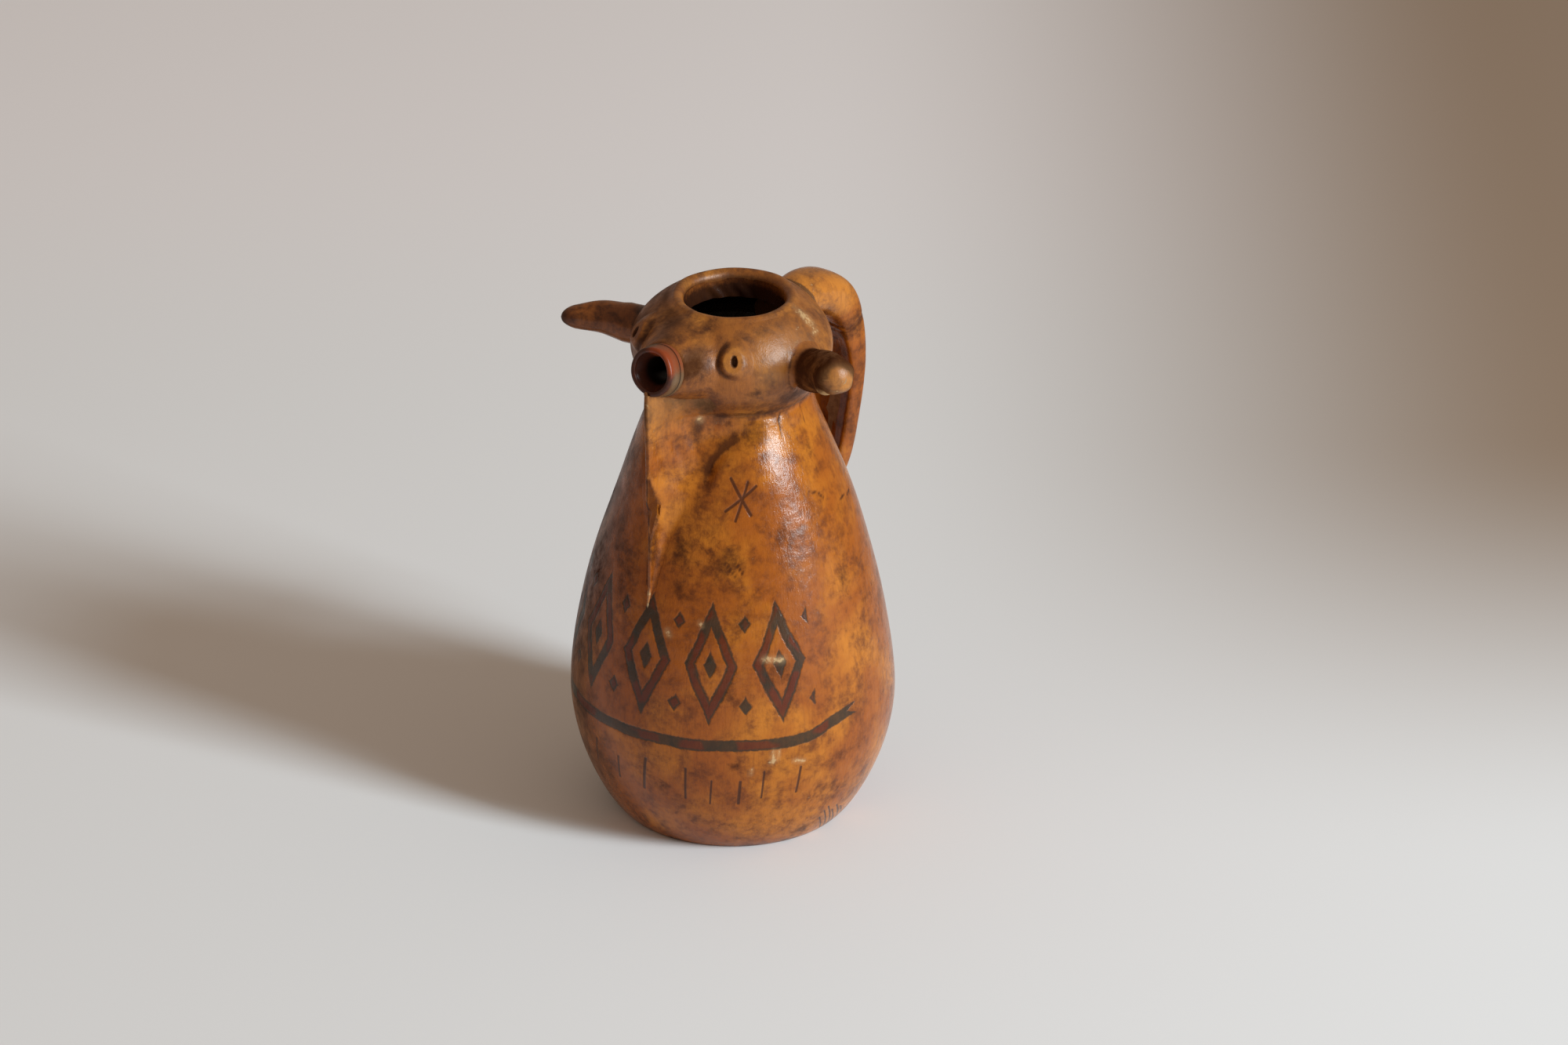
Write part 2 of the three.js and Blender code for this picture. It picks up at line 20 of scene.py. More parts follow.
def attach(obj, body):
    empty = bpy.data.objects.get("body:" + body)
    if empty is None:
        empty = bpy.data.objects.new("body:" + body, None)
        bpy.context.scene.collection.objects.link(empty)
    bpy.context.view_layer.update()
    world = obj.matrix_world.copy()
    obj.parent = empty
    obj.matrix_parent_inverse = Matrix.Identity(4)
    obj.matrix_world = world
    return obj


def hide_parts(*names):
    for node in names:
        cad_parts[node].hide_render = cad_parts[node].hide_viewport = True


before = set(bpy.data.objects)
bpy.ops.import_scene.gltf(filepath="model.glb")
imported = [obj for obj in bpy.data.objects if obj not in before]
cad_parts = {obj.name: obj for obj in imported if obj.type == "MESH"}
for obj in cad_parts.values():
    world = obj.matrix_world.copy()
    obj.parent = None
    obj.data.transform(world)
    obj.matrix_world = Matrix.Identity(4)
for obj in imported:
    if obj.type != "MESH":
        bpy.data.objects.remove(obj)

Values = npt.NDArray[np.float64]
Triple = tuple[float, float, float]
Colour = Triple
Point = tuple[float, float]
Span = tuple[float, float]
Socket = bpy.types.NodeSocket

MM = 0.001
CLEARANCE = 0.3
LEATHER = 3.0
TURNED_MERGE = 1e-4
WRAPPED_MERGE = 1e-3
TINY = 1e-6
HALVINGS = 24
LEFT_BACK = 126.0
HEM_BLEND: Span = (-4.0, 10.0)
MARK_EDGE: Span = (0.56, 0.2)
log = logging.getLogger("pitcher")


class Side(Enum):
    """The bull's own sides."""

    LEFT = 1
    RIGHT = -1


class Mask(Enum):
    """The masks that a mesh carries for its finish: stains, washes, wear and rubbing, and also painted shade,
    painted light and painted sheen.
    """

    # Stains, and painted shade in creases, hollows, recesses and under the head's hem.
    STAIN = "stain"
    # A dark wash, and painted shade on the side away from the window.
    WASH_AND_SHADE = "wash_and_shade"
    # Golden wear, and painted light on the spout's side towards the window and on the brow.
    WORN_AND_LIT = "worn_and_lit"
    # Pale rubbing, and painted sheen on the brow and along the sewn ridge.
    PALE = "pale"


# Curves and soft steps


def smooth(value: Values, low: float, high: float) -> Values:
    """Return a smooth step from 0 at low to 1 at high."""
    share = np.clip((value - low) / (high - low), 0.0, 1.0)
    return share * share * (3.0 - 2.0 * share)


def bell(value: Values, middle: float, spread: float | Values) -> Values:
    """Return a bell that is 1 at the middle and fades over the spread."""
    return np.exp(-(((value - middle) / spread) ** 2))


def bezier(points: Sequence[Point], steps: int) -> Values:
    """Return points along a cubic curve.

    Args:
        points: The start, its handle, the end's handle and the end.
        steps: How many stretches the curve is cut into.

    Returns:
        An array of steps + 1 points.
    """
    share = np.linspace(0.0, 1.0, steps + 1)[:, None]
    rest = 1.0 - share
    start, leave, arrive, end = np.array(points, float)
    return rest**3 * start + 3 * rest**2 * share * leave + 3 * rest * share**2 * arrive + share**3 * end


def spline(points: Sequence[Sequence[float]], share: Values) -> Values:
    """Return places along a smooth line.

    Args:
        points: The places that the line passes through.
        share: Shares of the way along it, from 0 to 1.

    Returns:
        One row for each share.
    """
    knots = np.array(points, float)
    span = np.linalg.norm(np.diff(knots, axis=0), axis=1)
    at = np.concatenate([[0.0], np.cumsum(span)]) / span.sum()
    slope = np.gradient(knots, at, axis=0)
    index = np.clip(np.searchsorted(at, share, side="right") - 1, 0, len(span) - 1)
    width = (at[index + 1] - at[index])[:, None]
    t = (share - at[index])[:, None] / width
    return (
        (2 * t**3 - 3 * t**2 + 1) * knots[index]
        + (t**3 - 2 * t**2 + t) * width * slope[index]
        + (3 * t**2 - 2 * t**3) * knots[index + 1]
        + (t**3 - t**2) * width * slope[index + 1]
    )


def inset(outline: Values, distance: float) -> Values:
    """Return an outline moved inwards, each point along the mean of its edges' normals."""
    ends = np.concatenate([outline[:1], outline, outline[-1:]])
    along = ends[2:] - ends[:-2]
    along /= np.linalg.norm(along, axis=1)[:, None]
    return outline + distance * np.stack([-along[:, 1], along[:, 0]], axis=1)


def round_place(angle: Values, radius: Values, height: Values) -> Values:
    """Return the places at angles from the front, distances from the axis and heights."""
    turn = np.radians(angle)
    return np.stack([radius * np.sin(turn), -radius * np.cos(turn), height], axis=1)


def angle_of(places: Values) -> Values:
    """Return the angle from the front of each place."""
    return np.degrees(np.arctan2(places[:, 0], -places[:, 1]))


def polar(places: Values) -> tuple[Values, Values, Values]:
    """Return the angle from the front, the distance from the axis and the height of each place."""
    return angle_of(places), np.hypot(places[:, 0], places[:, 1]), places[:, 2]


def unit(rows: Values) -> Values:
    """Return each row made one long."""
    return rows / np.linalg.norm(rows, axis=1)[:, None]


def heading(line: Callable[[Values], Values], share: Values, step: float) -> Values:
    """Return the direction of a line at shares of its length."""
    return unit(line(np.clip(share + step, 0.0, 1.0)) - line(np.clip(share - step, 0.0, 1.0)))


# Marks on the leather, by angle and height


@dataclass(frozen=True)
class Stroke:
    """A straight mark on the skin: a cut, a wrinkle or a scuff."""

    start: Point
    end: Point
    width: float
    depth: float

    def along(self, angle: Values, height: Values, radius: float) -> tuple[Values, Values]:
        """Return each place's distance to the mark in millimetres, and its share of the way along."""
        scale = math.radians(radius)
        across = (self.end[0] - self.start[0]) * scale
        rise = self.end[1] - self.start[1]
        u = (angle - self.start[0]) * scale
        v = height - self.start[1]
        share = np.clip((u * across + v * rise) / (across**2 + rise**2), 0.0, 1.0)
        return np.hypot(u - share * across, v - share * rise), share

    def trace(self, angle: Values, height: Values, radius: float) -> Values:
        """Return the mark's share of its full strength at each place."""
        return bell(self.along(angle, height, radius)[0], 0.0, self.width / 2)

    def cut(self, angle: Values, height: Values, radius: float) -> Values:
        """Return how deep the mark is at each place."""
        return self.depth * self.trace(angle, height, radius)


@dataclass(frozen=True)
class Crease:
    """A long bent hollow in the skin, steep on one side and gentle on the other."""

    points: tuple[Point, ...]
    depth: float
    left_width: float
    right_width: float
    fade_in: float = 0.2
    fade_out: float = 0.3

    def shape(self, angle: Values, height: Values, radius: float) -> Values:
        """Return the crease's share of its full depth at each place."""
        best = np.full(angle.shape, np.inf)
        width = np.ones(angle.shape)
        share = np.zeros(angle.shape)
        count = len(self.points) - 1
        for i, (start, end) in enumerate(zip(self.points, self.points[1:])):
            distance, along = Stroke(start, end, 1.0, 1.0).along(angle, height, radius)
            scale = math.radians(radius)
            across = (end[0] - start[0]) * scale
            rise = end[1] - start[1]
            turn = across * (height - start[1]) - rise * (angle - start[0]) * scale
            nearer = distance < best
            best = np.where(nearer, distance, best)
            width = np.where(nearer, np.where(turn > 0, self.left_width, self.right_width), width)
            share = np.where(nearer, (i + along) / count, share)
        fade = smooth(share, 0.0, self.fade_in) * smooth(1.0 - share, 0.0, self.fade_out)
        return bell(best, 0.0, width) * fade


@dataclass(frozen=True)
class Spot:
    """A soft round patch on the skin."""

    angle: float
    height: float
    width: float
    rise: float
    strength: float = 1.0

    def mask(self, angle: Values, height: Values, radius: float) -> Values:
        """Return the patch's strength at each place."""
        u = (angle - self.angle) * math.radians(radius) / self.width
        v = (height - self.height) / self.rise
        return self.strength * np.exp(-(u * u + v * v))


@dataclass(frozen=True)
class Swell:
    """A broad rise in the skin, or a dip where its depth is negative."""

    angle: float
    spread: float
    height: float
    rise: float
    depth: float

    def at(self, angle: Values, height: Values) -> Values:
        """Return how far the skin stands out at each place."""
        return self.depth * bell(angle, self.angle, self.spread) * bell(height, self.height, self.rise)


@dataclass(frozen=True)
class Wave:
    """A ripple: its depth, and the degrees it turns for each unit of two measures."""

    depth: float
    first: float
    second: float = 0.0
    phase: float = 0.0

    def at(self, first: Values, second: float | Values = 0.0) -> Values:
        """Return the ripple's height at each pair of measures."""
        return self.depth * np.sin(np.radians(self.first * first + self.second * second + self.phase))


@dataclass(frozen=True)
class Noise:
    """How coarse, detailed, rough, warped and drawn out a noise is."""

    size: float
    detail: float = 3.0
    rough: float = 0.5
    warp: float = 0.0
    stretch: float = 1.0


@dataclass(frozen=True)
class Ornament:
    """A row of cut and inked lozenges over a line that ends in a fork."""

    height: float = 108.0
    half_height: float = 24.0
    half_width: float = 10.6
    spacing: float = 26.0
    first: float = -154.0
    last: float = 54.0
    stroke: float = 4.9
    core_width: float = 3.4
    core_height: float = 7.0
    dot_size: float = 3.2
    dot_lift: float = 20.0
    line_height: float = 67.5
    line_width: float = 6.1
    line_start: float = -150.0
    line_turn: float = 58.0
    line_end: float = 83.0
    line_rise: float = 7.0
    radius: float = 74.0
    depth: float = 0.06
    wall: Span = (-0.5, 0.7)
    line_wall: Span = (-0.6, 0.6)
    start_fade: float = 2.0
    end_fade: float = 1.0
    wander: float = 4.6
    wobble: Noise = Noise(11.0, 2.0)
    sway: Noise = Noise(14.0, 2.0, stretch=-1.0)
    fork: float = 2.4
    fork_slant: float = 1.5
    ragged: float = 1.2
    ragged_noise: Noise = Noise(1.6, 2.0)
    ink_edge: Span = (0.5, -0.45)
    outer_edge: Span = (0.5, 0.0)
    inner_edge: Span = (-1.5, -0.5)
    ink_noise: Noise = Noise(16.0, 1.0, 0.4)
    red_heights: Span = (74.0, 80.0)
    red_more: float = 0.1
    red_share: Span = (0.5, 0.58)

    def cut(self, angle: Values, height: Values) -> Values:
        """Return how deep the ornament is cut at each place."""
        scale = math.radians(self.radius)
        shifted = angle - self.first + self.spacing / 2
        u = np.abs((np.mod(shifted, self.spacing) - self.spacing / 2) * scale)
        v = np.abs(height - self.height)
        slant = math.hypot(1 / self.half_width, 1 / self.half_height)
        side = np.abs(u / self.half_width + v / self.half_height - 1) / slant
        row = (angle > self.first - self.spacing / 2) & (angle < self.last + self.spacing / 2)
        lozenges = (1 - smooth(side - self.stroke / 2, *self.wall)) * row
        rise = self.line_rise * smooth(angle, self.line_turn, self.line_end)
        off_line = np.abs(height - self.line_height - rise)
        drawn = smooth(angle, self.line_start, self.line_start + self.start_fade)
        drawn = drawn * (1 - smooth(angle, self.line_end - self.end_fade, self.line_end))
        line = (1 - smooth(off_line - self.line_width / 2, *self.line_wall)) * drawn
        return self.depth * np.maximum(lozenges, line)


ORNAMENT = Ornament()

# Three crossing cuts that make a star on the chest
STAR = (
    Stroke((35.6, 195.5), (45.6, 178.5), 2.3, 0.5),
    Stroke((49.4, 191.8), (32.7, 180.3), 1.9, 0.45),
    Stroke((44.9, 193.9), (37.8, 175.9), 1.8, 0.4),
)

# Short upright cuts below the line
TICKS = (
    Stroke((-20.6, 53.2), (-23.4, 39.5), 1.2, 0.3),
    Stroke((-8.9, 49.7), (-10.7, 36.4), 1.2, 0.3),
    Stroke((4.0, 54.5), (1.3, 35.5), 1.7, 0.45),
    Stroke((19.4, 53.5), (18.4, 35.1), 1.3, 0.4),
    Stroke((28.6, 47.6), (27.6, 33.1), 1.0, 0.25),
    Stroke((38.8, 47.3), (38.1, 33.5), 1.5, 0.45),
    Stroke((47.3, 52.6), (46.6, 36.5), 1.0, 0.35),
    Stroke((60.9, 52.0), (60.1, 36.8), 1.3, 0.4),
)

# Pleats pressed in above the foot
PLEATS = (
    Stroke((82.5, 2.0), (76.0, 13.0), 1.0, 0.3),
    Stroke((85.3, 2.0), (77.2, 17.0), 1.1, 0.3),
    Stroke((88.2, 2.0), (78.8, 19.0), 1.2, 0.3),
    Stroke((91.3, 2.0), (82.5, 15.0), 1.1, 0.3),
    Stroke((94.7, 2.0), (84.5, 17.0), 1.2, 0.3),
    Stroke((98.4, 2.0), (88.5, 14.0), 1.0, 0.3),
)

# Fine cracks and wrinkles
WRINKLES = (
    Stroke((99.0, 14.0), (98.0, 6.0), 2.0, 0.6),
    Stroke((73.4, 222.5), (70.8, 219.0), 1.5, 0.9),
    Stroke((70.8, 219.0), (71.2, 211.0), 1.5, 0.9),
    Stroke((93.3, 222.8), (94.6, 212.5), 1.4, 0.5),
    Stroke((33.0, 156.5), (37.2, 150.5), 1.4, 0.3),
    Stroke((36.6, 157.4), (40.6, 151.8), 1.4, 0.3),
    Stroke((80.0, 183.2), (86.0, 181.4), 1.5, 0.4),
    Stroke((86.0, 181.4), (89.2, 177.8), 1.6, 0.5),
    Stroke((101.0, 173.0), (117.0, 170.6), 1.5, 0.3),
)

# Pale scuffs where the surface is rubbed through
SCUFFS = (
    Stroke((48.6, 110.6), (55.0, 109.4), 3.4, 0.0),
    Stroke((10.0, 122.0), (11.2, 119.8), 2.6, 0.0),
    Stroke((50.6, 64.0), (50.0, 57.0), 1.8, 0.0),
    Stroke((52.4, 63.4), (51.8, 58.0), 1.4, 0.0),
    Stroke((58.6, 56.6), (61.6, 55.2), 2.4, 0.0),
    Stroke((42.6, 54.6), (42.4, 51.2), 1.2, 0.0),
    Stroke((23.0, 128.2), (24.2, 126.6), 1.8, 0.0),
)

# The hollow beside the chest, steep where the chest swells out of it
CHEST_CREASE = Crease(
    points=(
        (16.5, 178.0),
        (19.0, 188.0),
        (20.8, 194.6),
        (23.7, 201.3),
        (30.5, 207.2),
        (39.1, 211.1),
        (48.8, 213.4),
        (60.0, 215.4),
    ),
    depth=2.8,
    left_width=12.0,
    right_width=3.8,
    fade_in=0.36,
)

# Dark patches on the body. Those at 17.8 to 20.5 degrees, heights 186 to 203, are painted shade in the
# chest's crease, and those at -14 to -60 degrees are partly painted shade on the side away from the window.
STAINS = (
    Spot(13.5, 218.0, 4.0, 10.0, 1.1),
    Spot(16.0, 208.0, 4.0, 7.0, 0.6),
    Spot(20.5, 203.0, 7.0, 15.0, 0.78),
    Spot(12.0, 160.0, 5.0, 9.0, 0.85),
    Spot(20.0, 195.5, 2.2, 6.0, 1.0),
    Spot(17.8, 186.0, 4.0, 8.0, 0.5),
    Spot(33.0, 157.6, 11.0, 8.0, 0.85),
    Spot(27.0, 161.0, 5.0, 4.0, 0.5),
    Spot(12.9, 142.0, 6.5, 6.0, 0.8),
    Spot(64.0, 167.7, 13.0, 7.0, 0.5),
    Spot(79.9, 169.9, 7.0, 5.0, 0.5),
    Spot(89.1, 139.1, 7.0, 10.0, 0.6),
    Spot(49.8, 141.7, 8.0, 4.0, 0.45),
    Spot(90.7, 201.1, 5.0, 5.0, 0.6),
    Spot(55.7, 103.6, 9.0, 11.0, 0.75),
    Spot(34.4, 92.4, 10.0, 7.0, 0.45),
    Spot(36.8, 56.6, 3.2, 3.0, 0.7),
    Spot(78.0, 31.8, 12.0, 9.0, 0.52),
    Spot(81.0, 51.0, 12.0, 4.0, 0.35),
    Spot(8.5, 40.0, 9.0, 7.0, 0.55),
    Spot(24.4, 39.9, 6.0, 4.0, 0.4),
    Spot(67.0, 7.9, 9.0, 5.0, 0.8),
    Spot(30.0, 20.0, 26.0, 7.0, 0.3),
    Spot(4.8, 9.5, 12.0, 5.0, 0.45),
    Spot(103.3, 148.0, 7.0, 14.0, 0.3),
    Spot(92.0, 118.0, 9.0, 8.0, 0.35),
    Spot(34.1, 219.6, 4.0, 2.6, 0.7),
    Spot(57.3, 218.4, 8.0, 3.0, 0.6),
    Spot(50.0, 214.0, 15.0, 5.0, 0.75),
    Spot(38.0, 209.0, 12.0, 4.0, 0.5),
    Spot(50.0, 172.0, 12.0, 6.0, 0.3),
    Spot(-14.0, 150.0, 9.0, 22.0, 0.6),
    Spot(-40.0, 128.0, 16.0, 22.0, 0.5),
    Spot(120.0, 120.0, 14.0, 12.0, 0.4),
    Spot(150.0, 60.0, 18.0, 14.0, 0.5),
    Spot(-60.0, 170.0, 14.0, 18.0, 0.5),
    Spot(-95.0, 60.0, 18.0, 12.0, 0.5),
    Spot(-130.0, 150.0, 12.0, 16.0, 0.5),
    Spot(168.0, 110.0, 12.0, 9.0, 0.5),
)

# Dark patches on the head. The two at 77 and 87 degrees low on the neck, under the horn, and the one at 21
# degrees between spout and eye are painted shade.
HEAD_STAINS = (
    Spot(14.5, 266.5, 9.0, 4.0, 0.6),
    Spot(36.0, 268.5, 7.0, 3.0, 0.5),
    Spot(43.2, 264.0, 7.0, 3.0, 0.5),
    Spot(60.0, 265.5, 8.0, 2.6, 0.75),
    Spot(17.3, 256.0, 6.0, 5.0, 0.55),
    Spot(49.0, 239.5, 4.4, 2.8, 0.85),
    Spot(26.0, 240.0, 8.0, 4.0, 0.4),
    Spot(20.0, 232.0, 8.0, 4.0, 0.7),
    Spot(77.0, 231.5, 15.0, 6.0, 0.85),
    Spot(21.0, 252.0, 7.0, 7.0, 0.72),
    Spot(87.0, 226.0, 9.0, 5.0, 0.7),
    Spot(150.0, 250.0, 12.0, 9.0, 0.6),
    Spot(-90.0, 240.0, 12.0, 9.0, 0.6),
)

# Places rubbed down to pale leather; the broad spots at 72 and 60 degrees on the brow are painted sheen.
SCARS_AND_SHEEN = (
    Spot(103.0, 264.5, 4.2, 4.6, 0.95),
    Spot(72.0, 258.0, 22.0, 9.0, 0.34),
    Spot(60.0, 249.0, 9.0, 9.0, 0.26),
    Spot(101.0, 259.0, 4.0, 1.5, 0.75),
    Spot(15.0, 222.5, 2.4, 2.6, 0.85),
)

# Golden places worn bright; the broad one at 60 degrees on the brow is partly painted sheen.
WORN_AND_LIT = (
    Spot(74.0, 160.0, 10.0, 20.0, 0.4),
    Spot(88.0, 130.0, 20.0, 34.0, 0.4),
    Spot(50.0, 80.0, 26.0, 12.0, 0.25),
    Spot(45.0, 125.0, 14.0, 12.0, 0.35),
    Spot(0.0, 205.0, 14.0, 24.0, 0.3),
    Spot(60.0, 250.0, 24.0, 12.0, 0.8),
    Spot(8.0, 175.0, 8.0, 10.0, 0.5),
)


def spots(patches: Sequence[Spot], angle: Values, height: Values, radius: float) -> Values:
    """Return the strongest of several patches at each place."""
    masks = [patch.mask(angle, height, radius) for patch in patches]
    return np.max(masks, axis=0)


# The outer skins, as distances from the axis


@dataclass(frozen=True)
class VesselSkin:
    """The outside of the pear-shaped vessel."""

    foot_radius: float = 57.5
    foot_rounding: float = 1.2
    belly_radius: float = 80.0
    belly_height: float = 65.0
    neck_radius: float = 37.6
    neck_height: float = 221.0
    tuck: float = 8.0
    foot_flare: float = 0.42
    foot_rise: float = 0.17
    belly_below: float = 0.39
    belly_above: float = 0.3
    shoulder_draw: float = 0.3
    shoulder_drop: float = 0.2
    mark_radius: float = 60.0
    crease_radius: float = 46.0
    mirrored_crease: float = 0.35
    lean: float = 1.1
    lean_height: float = 168.0
    lean_rise: float = 26.0
    belly: Swell = Swell(LEFT_BACK, 50.0, 86.0, 34.0, -1.3)
    chest: Swell = Swell(50.0, 24.0, 196.0, 14.0, 1.6)
    ripples: tuple[Wave, ...] = (Wave(0.2, 3.0, 1.3), Wave(0.16, 5.0, -2.1))
    ripples_begin: Span = (6.0, 30.0)
    ripples_end: Span = (205.0, 222.0)
    gather: float = 1.1
    gather_heights: Span = (211.0, 222.5)
    neck_rows: int = 7
    measured_rows: tuple[int, int] = (60, 120)

    @property
    def top(self) -> float:
        """The height of the neck's upper edge."""
        return self.neck_height + self.tuck

    def outline(self, lower_steps: int, upper_steps: int) -> Values:
        """Return the outline from the foot up to the neck's edge.

        Args:
            lower_steps: Stretches from the foot to the belly.
            upper_steps: Stretches from the belly to the neck.

        Returns:
            Distances from the axis and heights.
        """
        spread = self.belly_radius - self.foot_radius
        draw = self.belly_radius - self.neck_radius
        drop = self.neck_height - self.belly_height
        belly = (self.belly_radius, self.belly_height)
        lower = bezier(
            (
                (self.foot_radius, self.foot_rounding),
                (self.foot_radius + spread * self.foot_flare, self.belly_height * self.foot_rise),
                (self.belly_radius, self.belly_height * (1 - self.belly_below)),
                belly,
            ),
            lower_steps,
        )
        upper = bezier(
            (
                belly,
                (self.belly_radius, self.belly_height + drop * self.belly_above),
                (self.neck_radius + draw * self.shoulder_draw, self.neck_height - drop * self.shoulder_drop),
                (self.neck_radius, self.neck_height),
            ),
            upper_steps,
        )
        neck = np.linspace((self.neck_radius, self.neck_height), (self.neck_radius, self.top), self.neck_rows)
        return np.concatenate([lower, upper[1:], neck[1:]])

    def shift(self, angle: Values, height: Values) -> Values:
        """Return how far the hand-moulded skin stands out of the turned shape."""
        leaning = self.lean * bell(height, self.lean_height, self.lean_rise)
        fuller = leaning * np.cos(np.radians(angle - LEFT_BACK))
        ripple = sum(wave.at(angle, height) for wave in self.ripples)
        dents = ripple * smooth(height, *self.ripples_begin) * (1 - smooth(height, *self.ripples_end))
        crease = CHEST_CREASE.depth * CHEST_CREASE.shape(angle, height, self.crease_radius)
        mirrored = CHEST_CREASE.depth * CHEST_CREASE.shape(-angle, height, self.crease_radius)
        chest = self.belly.at(angle, height) + self.chest.at(angle, height)
        gather = self.gather * smooth(height, *self.gather_heights)
        return fuller + dents + chest + gather - crease - self.mirrored_crease * mirrored

    def radius(self, angle: Values, height: Values) -> Values:
        """Return the skin's distance from the axis."""
        line = self.outline(*self.measured_rows)
        return np.interp(height, line[:, 1], line[:, 0]) + self.shift(angle, height)


@dataclass(frozen=True)
class HeadSkin:
    """The outside of the squashed ball that is the head, with its muzzle."""

    hem_lift: float = 2.0
    hem_rounding: float = 1.2
    widest_radius: float = 48.6
    widest_lift: float = 24.5
    mouth_lift: float = 50.0
    mouth_radius: float = 27.4
    hem_flare: float = 0.5
    hem_rise: float = 0.28
    cheek_below: float = 0.4
    cheek_above: float = 0.42
    crown_draw: float = 0.6
    crown_drop: float = 0.26
    muzzle_swell: float = 8.2
    pad_radius: float = 13.0
    muzzle_hollow: float = 1.8
    side_fade: float = 33.0
    spout_lift: float = 30.4
    spout_tilt: float = 12.0
    muzzle_angle: float = 60.0
    ripples: tuple[Wave, ...] = (Wave(0.25, 4.0, 3.0), Wave(0.2, 7.0, -4.0))
    calm_angles: Span = (25.0, 45.0)
    calm_heights: Span = (226.0, 234.0)
    rim_heights: Span = (258.0, 270.0)
    mouth_wider: float = 0.2
    mouth_lean: float = 1.3
    mouth_stretch: float = 1.2
    mouth_stretch_angle: float = 36.0
    measured_rows: tuple[int, int] = (40, 60)
    vessel: VesselSkin = VesselSkin()

    @property
    def base(self) -> float:
        """The height that the head's own heights are counted from."""
        return self.vessel.neck_height

    @property
    def mouth_height(self) -> float:
        """The height of the mouth's edge."""
        return self.base + self.mouth_lift

    @property
    def spout_height(self) -> float:
        """The height where the spout's middle line leaves the muzzle."""
        return self.base + self.spout_lift

    def outline(self, lower_steps: int, upper_steps: int) -> Values:
        """Return the outline from the hem up to the mouth.

        Args:
            lower_steps: Stretches from the hem to the widest place.
            upper_steps: Stretches from there to the mouth.

        Returns:
            Distances from the axis and heights.
        """
        hem_radius = self.vessel.neck_radius + CLEARANCE + self.hem_rounding
        hem = (hem_radius, self.base + self.hem_lift + self.hem_rounding)
        widest = (self.widest_radius, self.base + self.widest_lift)
        mouth = (self.mouth_radius, self.mouth_height)
        climb = widest[1] - hem[1]
        rise = mouth[1] - widest[1]
        lower = bezier(
            (
                hem,
                (hem[0] + (widest[0] - hem[0]) * self.hem_flare, hem[1] + climb * self.hem_rise),
                (widest[0], widest[1] - climb * self.cheek_below),
                widest,
            ),
            lower_steps,
        )
        upper = bezier(
            (
                widest,
                (widest[0], widest[1] + rise * self.cheek_above),
                (mouth[0] + (widest[0] - mouth[0]) * self.crown_draw, mouth[1] - rise * self.crown_drop),
                mouth,
            ),
            upper_steps,
        )
        return np.concatenate([lower, upper[1:]])

    def turned_radius(self, height: Values) -> Values:
        """Return the round head's distance from the axis, without its muzzle."""
        line = self.outline(*self.measured_rows)
        return np.interp(height, line[:, 1], line[:, 0])

    @property
    def muzzle_front(self) -> float:
        """How far the muzzle's flat pad stands in front of the axis."""
        return float(self.turned_radius(np.array([self.spout_height]))[0]) + self.muzzle_swell

    def shift(self, angle: Values, height: Values) -> Values:
        """Return how far the skin stands out of the turned ball."""
        turn = np.radians(np.clip(angle, -self.muzzle_angle, self.muzzle_angle))
        climb = height - self.spout_height
        tilt = math.tan(math.radians(self.spout_tilt))
        pad = (self.muzzle_front - climb * tilt) / np.cos(turn)
        across = pad * np.sin(turn)
        from_spout = np.hypot(across, climb)
        above = self.mouth_height - self.spout_height
        below = self.spout_height - self.vessel.top
        upright = np.where(climb > 0, above, below)
        fade = from_spout / np.hypot(np.hypot(across / self.side_fade, climb / upright), TINY)
        past_pad = (from_spout - self.pad_radius) / np.maximum(fade - self.pad_radius, 1e-3)
        share = (1 - np.clip(past_pad, 0.0, 1.0)) ** self.muzzle_hollow
        in_front = np.abs(angle) < self.muzzle_angle
        swell = np.maximum(pad - self.turned_radius(height), 0.0) * share * in_front
        ripple = sum(wave.at(angle, height) for wave in self.ripples)
        rippled = smooth(np.abs(angle), *self.calm_angles) * smooth(height, *self.calm_heights)
        rim = self.mouth_shift(angle) * smooth(height, *self.rim_heights)
        return swell + ripple * rippled + rim

    def mouth_shift(self, angle: Values) -> Values:
        """Return how far the mouth's edge stands outside a true circle."""
        lean = self.mouth_lean * np.cos(np.radians(angle - LEFT_BACK))
        stretch = self.mouth_stretch * np.cos(np.radians(angle - self.mouth_stretch_angle)) ** 2
        return self.mouth_wider + lean + stretch

    def radius(self, angle: Values, height: Values) -> Values:
        """Return the skin's distance from the axis."""
        return self.turned_radius(height) + self.shift(angle, height)


VESSEL = VesselSkin()
HEAD = HeadSkin()


def skin_radius(angle: Values, height: Values) -> Values:
    """Return the whole skin's distance from the axis, with the head's hem blended into the neck."""
    share = smooth(height - HEAD.base, *HEM_BLEND)
    low = VESSEL.radius(angle, np.minimum(height, VESSEL.top))
    high = HEAD.radius(angle, np.maximum(height, HEAD.base + HEAD.hem_lift + HEAD.hem_rounding))
    return low * (1 - share) + high * share


def off_skin(places: Values) -> Values:
    """Return how far outside the skin each place lies."""
    angle, distance, height = polar(places)
    return distance - skin_radius(angle, height)


def drop_to_skin(places: Values, direction: Values, reach: float) -> Values:
    """Return places moved along a direction until they meet the skin.

    Args:
        places: Places outside the skin.
        direction: One unit vector that leads inwards.
        reach: How far a place may move.

    Returns:
        The places where each one meets the skin, or its place at full reach.
    """
    low = np.zeros(len(places))
    high = np.full(len(places), reach)
    for _ in range(HALVINGS):
        middle = (low + high) / 2
        outside = off_skin(places + middle[:, None] * direction) > 0
        low = np.where(outside, middle, low)
        high = np.where(outside, high, middle)
    return places + low[:, None] * direction


# Mesh building


def places_of(bm: bmesh.types.BMesh) -> Values:
    """Return the place of each vertex."""
    return np.array([vert.co[:] for vert in bm.verts], float)


def move_to(bm: bmesh.types.BMesh, places: Values) -> None:
    """Put each vertex at its new place."""
    for vert, place in zip(bm.verts, places):
        vert.co = place


